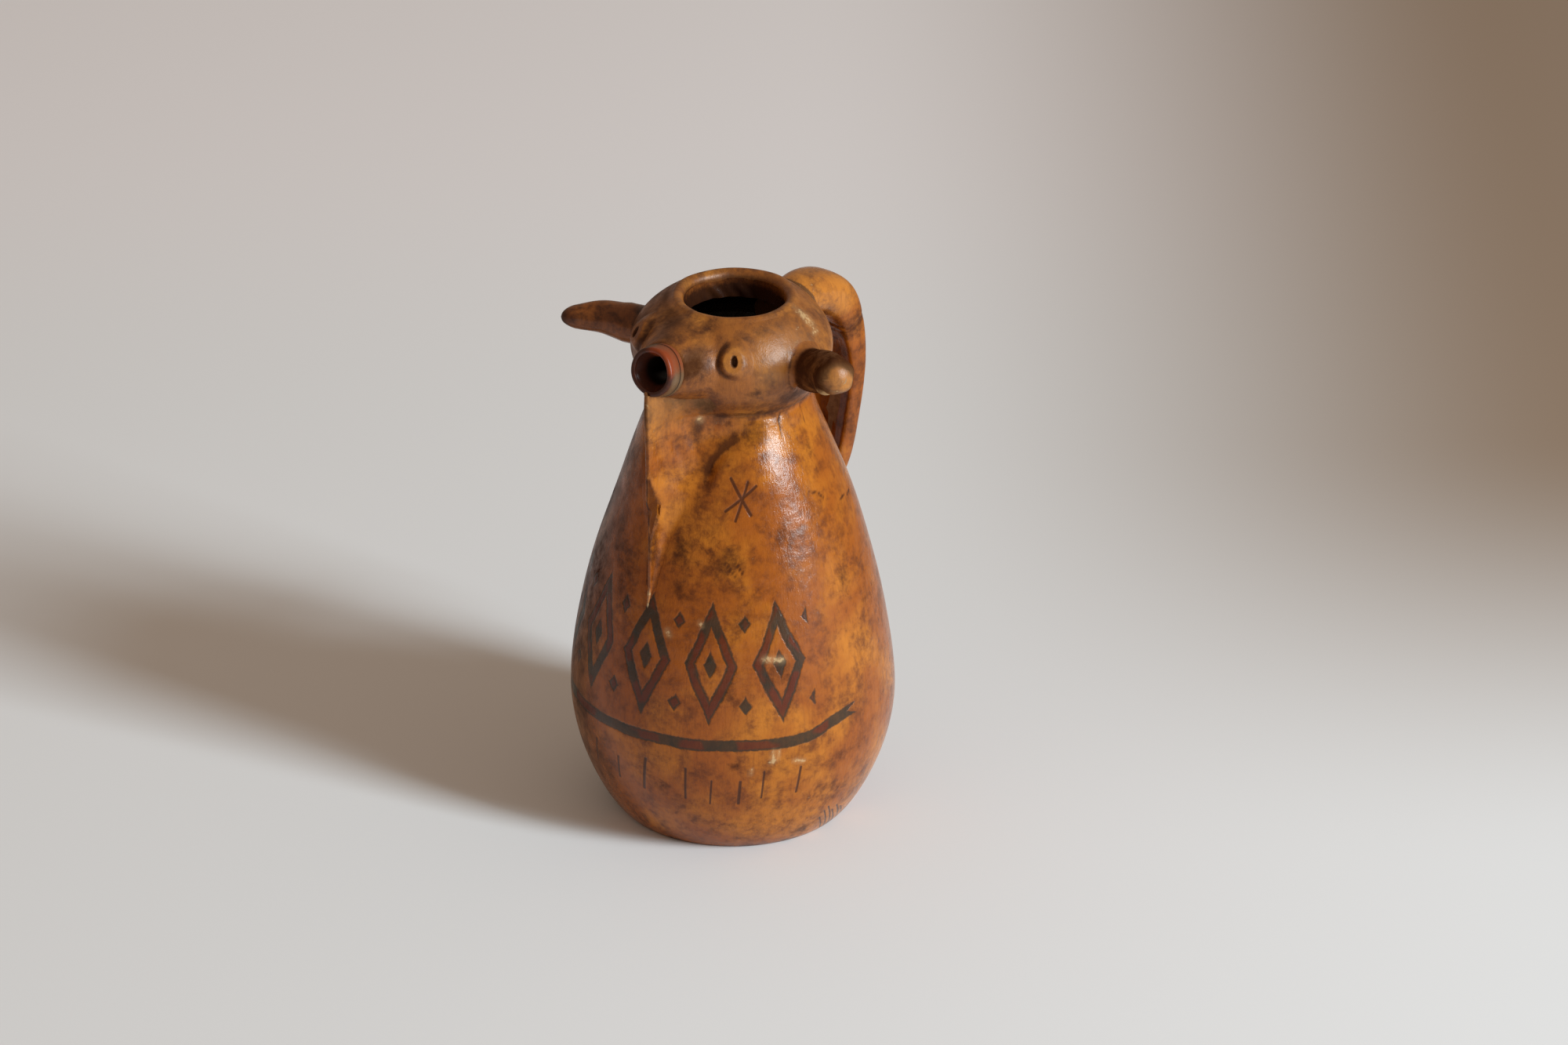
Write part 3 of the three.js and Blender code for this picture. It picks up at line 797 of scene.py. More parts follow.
def turned(outline: Values, steps: int, closed: bool = False) -> bmesh.types.BMesh:
    """Return a shape turned about the vertical axis.

    Args:
        outline: Distances from the axis and heights.
        steps: How many faces go round.
        closed: Whether the outline's last point joins its first.

    Returns:
        A new mesh with its doubles merged.
    """
    bm = bmesh.new()
    verts = [bm.verts.new((0.0, -radius, height)) for radius, height in outline]
    pairs = list(zip(verts, verts[1:]))
    if closed:
        pairs.append((verts[-1], verts[0]))
    edges = [bm.edges.new(pair) for pair in pairs]
    bmesh.ops.spin(
        bm, geom=verts + edges, cent=(0, 0, 0), axis=(0, 0, 1), dvec=(0, 0, 0),
        angle=math.tau, steps=steps, use_merge=True, use_duplicate=False,
    )
    bmesh.ops.remove_doubles(bm, verts=bm.verts, dist=TURNED_MERGE)
    bmesh.ops.recalc_face_normals(bm, faces=bm.faces)
    return bm


def wrapped(columns: int, rows: int, place: Callable[[Values, Values], Values]) -> bmesh.types.BMesh:
    """Return a grid rolled into a closed body with both ends filled.

    Args:
        columns: Faces round the body.
        rows: Faces along it.
        place: Gives the places at shares of the way round and along.

    Returns:
        A new mesh with its doubles merged.
    """
    bm = bmesh.new()
    bmesh.ops.create_grid(bm, x_segments=columns, y_segments=rows, size=0.5)
    flat = places_of(bm)
    move_to(bm, place(flat[:, 0] + 0.5, flat[:, 1] + 0.5))
    bmesh.ops.remove_doubles(bm, verts=bm.verts, dist=WRAPPED_MERGE)
    ends = [edge for edge in bm.edges if edge.is_boundary]
    bmesh.ops.holes_fill(bm, edges=ends, sides=0)
    bmesh.ops.recalc_face_normals(bm, faces=bm.faces)
    return bm


def finished(
    name: str,
    bm: bmesh.types.BMesh,
    material: bpy.types.Material,
    nodes: Sequence[str],
    masks: dict[Mask, Values] | None = None,
    crisp: float = 50.0,
) -> bpy.types.Object:
    """Turn a mesh in millimetres into a finished piece of the pitcher.

    Args:
        name: The piece's name.
        bm: Its mesh, which is freed.
        material: Its finish.
        nodes: The frame's nodes that it replaces.
        masks: Values from 0 to 2 for each vertex, for the finish.
        crisp: The angle between faces past which an edge stays sharp.

    Returns:
        The piece's object, at the origin.
    """
    for face in bm.faces:
        face.smooth = True
    for edge in bm.edges:
        if len(edge.link_faces) == 2 and edge.calc_face_angle() > math.radians(crisp):
            edge.smooth = False
    bmesh.ops.scale(bm, vec=(MM, MM, MM), verts=bm.verts)
    mesh = bpy.data.meshes.new(name)
    bm.to_mesh(mesh)
    bm.free()
    for mask, values in (masks or {}).items():
        attribute = mesh.attributes.new(mask.value, "FLOAT", "POINT")
        attribute.data.foreach_set("value", np.clip(values, 0.0, 2.0).astype(np.float32))
    mesh.materials.append(material)
    piece = bpy.data.objects.new(name, mesh)
    bpy.context.scene.collection.objects.link(piece)
    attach(piece, "root")
    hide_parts(*nodes)
    log.info("%s: %d faces, stands for %s", name, len(mesh.polygons), ", ".join(nodes))
    return piece


@dataclass(frozen=True)
class SkinWearAndLight:
    """How the skin of body and head is marked by stains, dark washes, wear and scuffs, and where shade and
    sheen are painted on it.
    """

    on_head: Span = (221.0, 228.0)
    crease_core: float = 0.85
    crease_sides: float = 0.5
    far_crease: float = 0.4
    neck: float = 0.8
    neck_height: float = 224.0
    neck_rise: float = 3.0
    neck_angles: Span = (14.0, 30.0)
    foot: float = 0.45
    foot_heights: Span = (0.5, 5.0)
    wrinkle: float = 1.1
    far_side: float = 0.66
    far_reach: Span = (-6.0, 52.0)
    crown: float = 0.7
    crown_heights: Span = (256.0, 271.0)
    crown_reach: Span = (-34.0, 12.0)
    rim_heights: Span = (267.5, 270.0)
    rim_clean: float = 0.8
    rim_worn: float = 0.35
    cheek: Spot = Spot(16.0, 256.5, 6.5, 7.5, 0.85)

    def creased(self, angle: Values, height: Values) -> Values:
        """Return the painted shade in the hollows beside the chest, and in their mirror on the far side."""
        near = CHEST_CREASE.shape(angle, height, VESSEL.crease_radius)
        far = CHEST_CREASE.shape(-angle, height, VESSEL.crease_radius)
        return self.crease_core * near**12 + self.crease_sides * near**1.5 + self.far_crease * far**3

    def stain(self, angle: Values, height: Values) -> Values:
        """Return the stains at each place, with painted shade in the chest's hollows and under the head's
        hem.
        """
        body = spots(STAINS, angle, height, VESSEL.mark_radius)
        head = spots(HEAD_STAINS, angle, height, HEAD.widest_radius)
        on_head = smooth(height, *self.on_head)
        # Painted shade in the crease under the head's hem, fading towards the front.
        neck = self.neck * bell(height, self.neck_height, self.neck_rise)
        neck = neck * smooth(np.abs(angle), *self.neck_angles)
        # Darker along the very bottom of the foot.
        foot = self.foot * (1 - smooth(height, *self.foot_heights))
        lines = [self.wrinkle * stroke.trace(angle, height, VESSEL.mark_radius) for stroke in WRINKLES]
        creased = self.creased(angle, height)
        return np.maximum.reduce([body * (1 - on_head), head * on_head, creased, neck, foot, *lines])

    def wash_and_shade(self, aside: Values, angle: Values, height: Values) -> Values:
        """Return how much darker each place is: painted shade on the side away from the window, on the
        crown's far side and on the cheek.
        """
        # Painted shade on the side away from the window and on the far side of the crown.
        far_side = self.far_side * smooth(-aside, *self.far_reach)
        crown = self.crown * smooth(height, *self.crown_heights) * smooth(-aside, *self.crown_reach)
        rim = smooth(height, *self.rim_heights)
        # Painted shade on the cheek between the spout and the eye, which also dulls its shine.
        cheek = self.cheek.mask(angle, height, HEAD.widest_radius)
        return np.maximum.reduce([far_side, crown * (1 - self.rim_clean * rim), cheek])

    def masks(self, places: Values) -> dict[Mask, Values]:
        """Return the masks of a piece that is part of the skin."""
        angle = angle_of(places)
        height = places[:, 2]
        rim = self.rim_worn * smooth(height, *self.rim_heights)
        scuffs = [stroke.trace(angle, height, VESSEL.mark_radius) for stroke in SCUFFS]
        return {
            Mask.STAIN: self.stain(angle, height),
            Mask.WASH_AND_SHADE: self.wash_and_shade(places[:, 0], angle, height),
            Mask.WORN_AND_LIT: np.maximum(spots(WORN_AND_LIT, angle, height, VESSEL.mark_radius), rim),
            Mask.PALE: np.maximum.reduce([*scuffs, spots(SCARS_AND_SHEEN, angle, height, HEAD.widest_radius)]),
        }


WEAR_AND_LIGHT = SkinWearAndLight()


# Node graphs


class Graph:
    """A node tree that is filled one node at a time."""

    def __init__(self, tree: bpy.types.NodeTree) -> None:
        """Start with an emptied tree."""
        tree.nodes.clear()
        self.tree = tree

    def feed(self, socket: Socket, value: object) -> None:
        """Link a socket to another, or set its own value."""
        if isinstance(value, bpy.types.NodeSocket):
            self.tree.links.new(value, socket)
        elif isinstance(value, tuple) and socket.type == "RGBA":
            socket.default_value = (*value, 1.0)
        else:
            socket.default_value = value

    def add(
        self, kind: str, inputs: dict[str | int, object] | None = None, **settings: object
    ) -> bpy.types.Node:
        """Add a node.

        Args:
            kind: The node's type.
            inputs: Values or sockets, by the name or number of the input.
            settings: The node's own properties.

        Returns:
            The new node.
        """
        node = self.tree.nodes.new(kind)
        for name, value in settings.items():
            setattr(node, name, value)
        for name, value in (inputs or {}).items():
            self.feed(node.inputs[name], value)
        return node

    def math(self, operation: str, *values: object) -> Socket:
        """Return the result of a Math node."""
        return self.add("ShaderNodeMath", dict(enumerate(values)), operation=operation).outputs[0]

    def plus(self, first: object, second: object) -> Socket:
        """Return the sum of two values."""
        return self.math("ADD", first, second)

    def minus(self, first: object, second: object) -> Socket:
        """Return the first value less the second."""
        return self.math("SUBTRACT", first, second)

    def times(self, first: object, second: object) -> Socket:
        """Return the product of two values."""
        return self.math("MULTIPLY", first, second)

    def over(self, first: object, second: object) -> Socket:
        """Return the first value divided by the second."""
        return self.math("DIVIDE", first, second)

    def most(self, first: object, second: object) -> Socket:
        """Return the larger of two values."""
        return self.math("MAXIMUM", first, second)

    def least(self, first: object, second: object) -> Socket:
        """Return the smaller of two values."""
        return self.math("MINIMUM", first, second)

    def unsigned(self, value: object) -> Socket:
        """Return a value without its sign."""
        return self.math("ABSOLUTE", value)

    def scaled(self, value: object, factor: object, base: object) -> Socket:
        """Return a value times a factor, added to a base."""
        return self.math("MULTIPLY_ADD", value, factor, base)

    def step(self, value: object, low: float, high: float) -> Socket:
        """Return a smooth step from 0 at low to 1 at high."""
        inputs = {"Value": value, "From Min": low, "From Max": high}
        return self.add("ShaderNodeMapRange", inputs, interpolation_type="SMOOTHSTEP").outputs[0]

    def mix(self, share: object, first: object, second: object) -> Socket:
        """Return two colours mixed."""
        return self.add("ShaderNodeMix", {0: share, 6: first, 7: second}, data_type="RGBA").outputs[2]

    def stretched(self, vector: Socket, along: float) -> Socket:
        """Return a vector scaled along its upright axis."""
        return self.add("ShaderNodeMapping", {"Vector": vector, "Scale": (1.0, 1.0, along)}).outputs[0]

    def sized(self, vector: Socket, factor: object) -> Socket:
        """Return a vector times a factor."""
        return self.add("ShaderNodeVectorMath", {0: vector, "Scale": factor}, operation="SCALE").outputs[0]

    def noise(self, vector: Socket, noise: Noise) -> Socket:
        """Return noise whose features have a size in the vector's units."""
        inputs = {
            "Vector": vector if noise.stretch == 1.0 else self.stretched(vector, noise.stretch),
            "Scale": 1.0 / noise.size,
            "Detail": noise.detail,
            "Roughness": noise.rough,
            "Distortion": noise.warp,
        }
        return self.add("ShaderNodeTexNoise", inputs).outputs["Fac"]

    def total(self, base: object, *parts: tuple[object, float]) -> object:
        """Return a base with several values added, each times its own weight."""
        for value, weight in parts:
            base = self.scaled(value, weight, base)
        return base

    def surface(self, inputs: dict[str, object]) -> None:
        """Add the shader and lead it to the material's output."""
        shader = self.add("ShaderNodeBsdfPrincipled", inputs)
        self.add("ShaderNodeOutputMaterial", {"Surface": shader.outputs[0]})

    def group(self, group: bpy.types.NodeTree, inputs: dict[str, object]) -> bpy.types.Node:
        """Place a node group."""
        node = self.tree.nodes.new("ShaderNodeGroup")
        node.node_tree = group
        for name, value in inputs.items():
            self.feed(node.inputs[name], value)
        return node


class EffectGroup:
    """A shader node group that several finishes share."""

    def __init__(self, name: str, inputs: Sequence[str], outputs: Sequence[str]) -> None:
        """Make an empty group.

        Args:
            name: The group's name.
            inputs: Names of its inputs, all numbers but for the place.
            outputs: Names of its outputs, all numbers.
        """
        self.tree = bpy.data.node_groups.new(name, "ShaderNodeTree")
        self.graph = Graph(self.tree)
        for socket_name in inputs:
            kind = "NodeSocketVector" if socket_name == "Place" else "NodeSocketFloat"
            self.tree.interface.new_socket(socket_name, in_out="INPUT", socket_type=kind)
        for socket_name in outputs:
            self.tree.interface.new_socket(socket_name, in_out="OUTPUT", socket_type="NodeSocketFloat")
        self.inputs = self.graph.add("NodeGroupInput").outputs
        self.outputs = self.graph.add("NodeGroupOutput").inputs

    def put(self, name: str, value: Socket) -> None:
        """Lead a value to an output."""
        self.tree.links.new(value, self.outputs[name])


def round_group() -> bpy.types.NodeTree:
    """Return the group that turns a place in millimetres into an angle and a height."""
    effect = EffectGroup("angle_and_height", ["Place"], ["Angle", "Height"])
    graph = effect.graph
    parts = graph.add("ShaderNodeSeparateXYZ", {0: effect.inputs["Place"]}).outputs
    turn = graph.math("ARCTAN2", parts["X"], graph.times(parts["Y"], -1.0))
    effect.put("Angle", graph.math("DEGREES", turn))
    effect.put("Height", parts["Z"])
    return effect.tree


def stroke_group() -> bpy.types.NodeTree:
    """Return the group that draws one straight mark by angle and height."""
    names = ("Angle", "Height", "Start angle", "Start height", "End angle", "End height", "Width", "Scale")
    effect = EffectGroup("straight_mark", names, ["Mask"])
    graph = effect.graph
    given = effect.inputs
    across = graph.times(graph.minus(given["End angle"], given["Start angle"]), given["Scale"])
    rise = graph.minus(given["End height"], given["Start height"])
    u = graph.times(graph.minus(given["Angle"], given["Start angle"]), given["Scale"])
    v = graph.minus(given["Height"], given["Start height"])
    dot = graph.scaled(u, across, graph.times(v, rise))
    length = graph.scaled(across, across, graph.times(rise, rise))
    share = graph.add("ShaderNodeClamp", {0: graph.over(dot, length)}).outputs[0]
    off_u = graph.minus(u, graph.times(share, across))
    off_v = graph.minus(v, graph.times(share, rise))
    squares = graph.scaled(off_u, off_u, graph.times(off_v, off_v))
    distance = graph.over(graph.math("SQRT", squares), given["Width"])
    effect.put("Mask", graph.step(distance, *MARK_EDGE))
    return effect.tree


DYE = {
    "Cloud": Noise(38.0, 4.0, 0.55, 0.3),
    "Sponge": Noise(15.0, 6.0, 0.66, 0.35),
    "Speck": Noise(4.6, 5.0, 0.68, 0.2),
    "Fleck": Noise(1.5, 3.0, 0.6),
    "Streak": Noise(1.9, 3.0, 0.6, stretch=0.13),
}

# Pores, drawn lines, dimples and waves, with their depths in millimetres
GRAIN = (
    (Noise(0.7, 2.0, 0.6), 0.05),
    (Noise(1.1, 3.0, 0.65, stretch=0.16), 0.14),
    (Noise(4.5, 3.0, 0.55), 0.16),
    (Noise(14.0, 2.0), 0.55),
)


def mottle_group() -> bpy.types.NodeTree:
    """Return the group of the clouds, sponged patches, specks and streaks that dye leaves in leather."""
    effect = EffectGroup("dye_mottle", ["Place", "Size"], list(DYE))
    graph = effect.graph
    place = graph.sized(effect.inputs["Place"], graph.over(1.0, effect.inputs["Size"]))
    for name, noise in DYE.items():
        effect.put(name, graph.noise(place, noise))
    return effect.tree


def grain_group() -> bpy.types.NodeTree:
    """Return the group of the fine relief of leather, in millimetres."""
    effect = EffectGroup("hide_relief", ["Place", "Strength"], ["Relief"])
    graph = effect.graph
    layers = [(graph.noise(effect.inputs["Place"], noise), depth) for noise, depth in GRAIN]
    effect.put("Relief", graph.times(graph.total(0.0, *layers), effect.inputs["Strength"]))
    return effect.tree


def ornament_group(ornament: Ornament) -> bpy.types.NodeTree:
    """Return the group that inks the ornament: its mask, its dark edges and its two inks."""
    effect = EffectGroup("cut_and_inked", ["Place", "Angle", "Height"], ["Ink", "Edge", "Red"])
    graph = effect.graph
    place = effect.inputs["Place"]
    scale = math.radians(ornament.radius)
    wobble = graph.scaled(graph.noise(place, ornament.wobble), ornament.wander, -ornament.wander / 2)
    sway = graph.scaled(graph.noise(place, ornament.sway), ornament.wander, -ornament.wander / 2)
    angle = graph.plus(effect.inputs["Angle"], graph.over(wobble, scale * 2))
    height = graph.plus(effect.inputs["Height"], graph.times(sway, 0.5))
    shifted = graph.plus(angle, ornament.spacing / 2 - ornament.first)
    local = graph.math("FLOORED_MODULO", shifted, ornament.spacing)
    u = graph.times(graph.unsigned(graph.minus(local, ornament.spacing / 2)), scale)
    v = graph.unsigned(graph.minus(height, ornament.height))

    def lozenge(across: Socket, up: Socket, half_width: float, half_height: float) -> Socket:
        """Return the distance outside a lozenge's sides, negative within."""
        sum_of = graph.plus(graph.over(across, half_width), graph.over(up, half_height))
        slant = math.hypot(1 / half_width, 1 / half_height)
        return graph.over(graph.minus(sum_of, 1.0), slant)

    frame_line = graph.unsigned(lozenge(u, v, ornament.half_width, ornament.half_height))
    frame_depth = graph.minus(frame_line, ornament.stroke / 2)
    core_depth = lozenge(u, v, ornament.core_width, ornament.core_height)
    between = graph.minus(ornament.spacing / 2 * scale, u)
    lifted = graph.unsigned(graph.minus(v, ornament.dot_lift))
    dot_depth = lozenge(between, lifted, ornament.dot_size, ornament.dot_size * 1.3)
    motif = graph.least(frame_depth, graph.least(core_depth, dot_depth))
    past_row = graph.most(
        graph.minus(effect.inputs["Angle"], ornament.last + ornament.spacing / 2),
        graph.minus(ornament.first - ornament.spacing / 2, effect.inputs["Angle"]),
    )
    motif = graph.most(motif, past_row)
    rise = graph.times(graph.step(angle, ornament.line_turn, ornament.line_end), ornament.line_rise)
    off_line = graph.minus(graph.minus(height, ornament.line_height), rise)
    line_depth = graph.minus(graph.unsigned(off_line), ornament.line_width / 2)
    fork = graph.minus(ornament.fork, graph.times(graph.unsigned(off_line), ornament.fork_slant))
    past_end = graph.minus(graph.plus(effect.inputs["Angle"], fork), ornament.line_end)
    before = graph.minus(graph.plus(fork, ornament.line_start), effect.inputs["Angle"])
    line_depth = graph.most(line_depth, graph.most(past_end, before))
    depth = graph.least(motif, line_depth)
    ragged = graph.scaled(graph.noise(place, ornament.ragged_noise), ornament.ragged, -ornament.ragged / 2)
    depth = graph.plus(depth, ragged)
    effect.put("Ink", graph.step(depth, *ornament.ink_edge))
    edge = graph.times(graph.step(depth, *ornament.outer_edge), graph.step(depth, *ornament.inner_edge))
    effect.put("Edge", edge)
    stretch = graph.noise(place, ornament.ink_noise)
    redder = graph.times(graph.step(height, *ornament.red_heights), ornament.red_more)
    effect.put("Red", graph.step(graph.plus(stretch, redder), *ornament.red_share))
    return effect.tree


# Finishes


@dataclass(frozen=True)
class SharedEffects:
    """The node groups that the finishes place."""

    polar: bpy.types.NodeTree
    stroke: bpy.types.NodeTree
    mottle: bpy.types.NodeTree
    grain: bpy.types.NodeTree
    ornament: bpy.types.NodeTree


def new_material(name: str) -> tuple[bpy.types.Material, Graph]:
    """Return a new material and its emptied graph."""
    material = bpy.data.materials.new(name)
    material.use_nodes = True
    return material, Graph(material.node_tree)


def place_in_mm(graph: Graph) -> Socket:
    """Return the place on the object in millimetres."""
    return graph.sized(graph.add("ShaderNodeTexCoord").outputs["Object"], 1.0 / MM)


def attribute(graph: Graph, mask: Mask) -> Socket:
    """Return one of the mesh's own masks."""
    return graph.add("ShaderNodeAttribute", attribute_name=mask.value).outputs["Fac"]


def relief_normal(graph: Graph, relief: Socket) -> Socket:
    """Return the normal that a relief in millimetres gives."""
    return graph.add("ShaderNodeBump", {"Height": relief, "Distance": MM}).outputs[0]


@dataclass(frozen=True)
class Cover:
    """How a colour covers what lies under it, its edge broken up by the dye's mottle."""

    low: float
    high: float
    share: float
    sponge: float = 0.0
    speck: float = 0.0
    fleck: float = 0.0

    def over(self, graph: Graph, mask: object, mottle: dict[str, Socket]) -> Socket:
        """Return the colour's share at each place."""
        weights = {"Sponge": self.sponge, "Speck": self.speck, "Fleck": self.fleck}
        broken = graph.total(mask, *[(mottle[name], weight) for name, weight in weights.items() if weight])
        return graph.times(graph.step(broken, self.low, self.high), self.share)


@dataclass(frozen=True)
class LeatherFinish:
    """Waxed and dyed leather, mottled and rubbed by use; its masks lay on stains, wear and dark washes, and
    also painted shade and painted sheen.
    """

    name: str
    gold: Colour = (0.46, 0.146, 0.013)
    tan: Colour = (0.30, 0.074, 0.007)
    brown: Colour = (0.125, 0.028, 0.005)
    stain: Colour = (0.042, 0.011, 0.005)
    wash_and_shade: Colour = (0.050, 0.019, 0.008)
    pale: Colour = (0.62, 0.40, 0.20)
    charcoal: Colour = (0.019, 0.017, 0.011)
    red_ink: Colour = (0.085, 0.013, 0.005)
    incised: Colour = (0.045, 0.012, 0.005)
    marked: bool = False
    darker: float = 0.0
    specular: float = 0.33
    roughness_low: float = 0.09
    roughness_high: float = 0.32
    golden: Span = (0.42, 0.7)
    worn_and_lit_golden: float = 0.22
    worn_and_lit_brown: float = -0.07
    sponged: Cover = Cover(-0.14, 0.24, 0.78, sponge=1.0, speck=0.75)
    deeper: Cover = Cover(0.08, 0.5, 0.42, sponge=1.0, speck=0.75, fleck=0.4)
    streaked: Cover = Cover(0.48, 0.8, 0.42)
    washed_and_shaded: Cover = Cover(0.15, 0.85, 0.9, sponge=0.9)
    stained_and_shaded: Cover = Cover(0.12, 1.1, 0.86, sponge=1.3, speck=0.95, fleck=0.35)
    scuffs_and_sheen: Cover = Cover(0.55, 1.05, 0.6, speck=2.0, fleck=1.6)
    dust_and_sheen: float = 0.3
    ink_gaps: Cover = Cover(0.2, -0.3, 0.16)
    ink_least: float = 0.82
    ink_edge: float = 0.9
    incised_share: float = 0.85
    ink_depth: float = -0.06
    cut_depth: float = -0.12
    stain_and_shade_rough: float = 0.06
    wash_and_shade_rough: float = 0.24
    wash_and_shade_shine: float = -0.28
    stain_and_shade_shine: float = -0.2

    def marks(self, graph: Graph, shared: SharedEffects, polar: dict[str, Socket]) -> Socket:
        """Return the mask of the straight cuts."""
        cuts: object = 0.0
        for stroke in (*STAR, *TICKS, *PLEATS):
            inputs = {
                **polar,
                "Start angle": stroke.start[0],
                "Start height": stroke.start[1],
                "End angle": stroke.end[0],
                "End height": stroke.end[1],
                "Width": stroke.width,
                "Scale": math.radians(VESSEL.mark_radius),
            }
            cuts = graph.most(graph.group(shared.stroke, inputs).outputs["Mask"], cuts)
        return cuts

    def build(self, shared: SharedEffects) -> bpy.types.Material:
        """Return the material."""
        material, graph = new_material(self.name)
        place = place_in_mm(graph)
        dye = graph.group(shared.mottle, {"Place": place, "Size": 1.0}).outputs
        mottle = {name: graph.minus(dye[name], 0.5) for name in ("Sponge", "Speck", "Fleck")}
        worn_and_lit = attribute(graph, Mask.WORN_AND_LIT)
        pale = attribute(graph, Mask.PALE)
        cloudy = graph.minus(graph.scaled(worn_and_lit, self.worn_and_lit_golden, dye["Cloud"]), self.darker)
        browner = graph.scaled(worn_and_lit, self.worn_and_lit_brown, self.darker)
        washed_and_shaded = self.washed_and_shaded.over(graph, attribute(graph, Mask.WASH_AND_SHADE), mottle)
        stained_and_shaded = self.stained_and_shaded.over(graph, attribute(graph, Mask.STAIN), mottle)
        colour = graph.mix(graph.step(cloudy, *self.golden), self.tan, self.gold)
        colour = graph.mix(self.sponged.over(graph, browner, mottle), colour, self.brown)
        colour = graph.mix(self.deeper.over(graph, browner, mottle), colour, self.stain)
        colour = graph.mix(self.streaked.over(graph, dye["Streak"], mottle), colour, self.brown)
        # Painted shade and real stains alike: the masked places take the darker colours.
        colour = graph.mix(washed_and_shaded, colour, self.wash_and_shade)
        colour = graph.mix(stained_and_shaded, colour, self.stain)
        relief = graph.group(shared.grain, {"Place": place, "Strength": 1.0}).outputs["Relief"]
        if self.marked:
            round_places = graph.group(shared.polar, {"Place": place}).outputs
            polar = {"Angle": round_places["Angle"], "Height": round_places["Height"]}
            ink = graph.group(shared.ornament, {"Place": place, **polar}).outputs
            drawn = graph.mix(ink["Red"], self.charcoal, self.red_ink)
            drawn = graph.mix(graph.times(ink["Edge"], self.ink_edge), drawn, self.charcoal)
            thickness = graph.plus(self.ink_gaps.over(graph, mottle["Speck"], mottle), self.ink_least)
            colour = graph.mix(graph.times(ink["Ink"], thickness), colour, drawn)
            cuts = self.marks(graph, shared, polar)
            colour = graph.mix(graph.times(cuts, self.incised_share), colour, self.incised)
            depths = ((ink["Ink"], self.ink_depth), (ink["Edge"], self.ink_depth), (cuts, self.cut_depth))
            relief = graph.total(relief, *depths)
        # Painted sheen and real rubbing: a smooth pale haze, then broken pale specks.
        colour = graph.mix(graph.times(pale, self.dust_and_sheen), colour, self.pale)
        colour = graph.mix(self.scuffs_and_sheen.over(graph, pale, mottle), colour, self.pale)
        roughness = graph.scaled(dye["Speck"], self.roughness_high - self.roughness_low, self.roughness_low)
        graph.surface({
            "Base Color": colour,
            "Roughness": graph.total(roughness, (stained_and_shaded, self.stain_and_shade_rough), (washed_and_shaded, self.wash_and_shade_rough)),
            "Normal": relief_normal(graph, relief),
            "Specular IOR Level": graph.total(
                self.specular, (washed_and_shaded, self.wash_and_shade_shine), (stained_and_shaded, self.stain_and_shade_shine)
            ),
        })
        return material


@dataclass(frozen=True)
class StainedWoodFinish:
    """Turned wood under a red-brown dye, rubbed grey on its side; it is painted redder on the side towards
    the window and painted black as shade deep in its bore and its groove.
    """

    name: str
    dark: Colour = (0.050, 0.013, 0.007)
    red: Colour = (0.22, 0.036, 0.008)
    grey: Colour = (0.14, 0.075, 0.036)
    shade_black: Colour = (0.008, 0.005, 0.004)
    roughness: float = 0.36
    specular: float = 0.3
    grain_size: float = 0.45
    grain_depth: float = 0.35
    mottled: float = 0.8
    red_edge: Span = (0.45, 1.1)
    grey_edge: Span = (0.2, 0.9)
    shade_black_edge: Span = (0.1, 0.9)
    uneven: float = 0.2

    def build(self, shared: SharedEffects) -> bpy.types.Material:
        """Return the material."""
        material, graph = new_material(self.name)
        place = place_in_mm(graph)
        dye = graph.group(shared.mottle, {"Place": place, "Size": self.grain_size}).outputs
        cloud = graph.minus(dye["Cloud"], 0.5)
        # Red where the mask marks the side towards the window: painted light.
        red_where_lit = graph.scaled(dye["Speck"], self.mottled, attribute(graph, Mask.WORN_AND_LIT))
        rubbed = graph.scaled(cloud, self.mottled, attribute(graph, Mask.WASH_AND_SHADE))
        # Painted shade: black deep in the bore and in the groove round the flange.
        in_shade_black = graph.step(attribute(graph, Mask.STAIN), *self.shade_black_edge)
        colour = graph.mix(graph.step(red_where_lit, *self.red_edge), self.dark, self.red)
        colour = graph.mix(graph.step(rubbed, *self.grey_edge), colour, self.grey)
        relief = graph.group(shared.grain, {"Place": place, "Strength": self.grain_depth}).outputs["Relief"]
        graph.surface({
            "Base Color": graph.mix(in_shade_black, colour, self.shade_black),
            "Roughness": graph.scaled(dye["Fleck"], self.uneven, self.roughness - self.uneven / 2),
            "Normal": relief_normal(graph, relief),
            "Specular IOR Level": self.specular,
        })
        return material


@dataclass(frozen=True)
class PlainFinish:
    """A finish of two mottled tones for what lies inside the pitcher or under it."""

    name: str
    first: Colour
    second: Colour
    roughness: float
    relief: float
    stretch: float = 1.0
    grain_size: float = 0.6
    tone_edge: Span = (0.35, 0.65)
    uneven: float = 0.15
    smoother: float = 0.07

    def build(self, shared: SharedEffects) -> bpy.types.Material:
        """Return the material."""
        material, graph = new_material(self.name)
        place = graph.stretched(place_in_mm(graph), self.stretch)
        dye = graph.group(shared.mottle, {"Place": place, "Size": self.grain_size}).outputs
        relief = graph.group(shared.grain, {"Place": place, "Strength": self.relief}).outputs["Relief"]
        graph.surface({
            "Base Color": graph.mix(graph.step(dye["Speck"], *self.tone_edge), self.first, self.second),
            "Roughness": graph.scaled(dye["Fleck"], self.uneven, self.roughness - self.smoother),
            "Normal": relief_normal(graph, relief),
        })
        return material


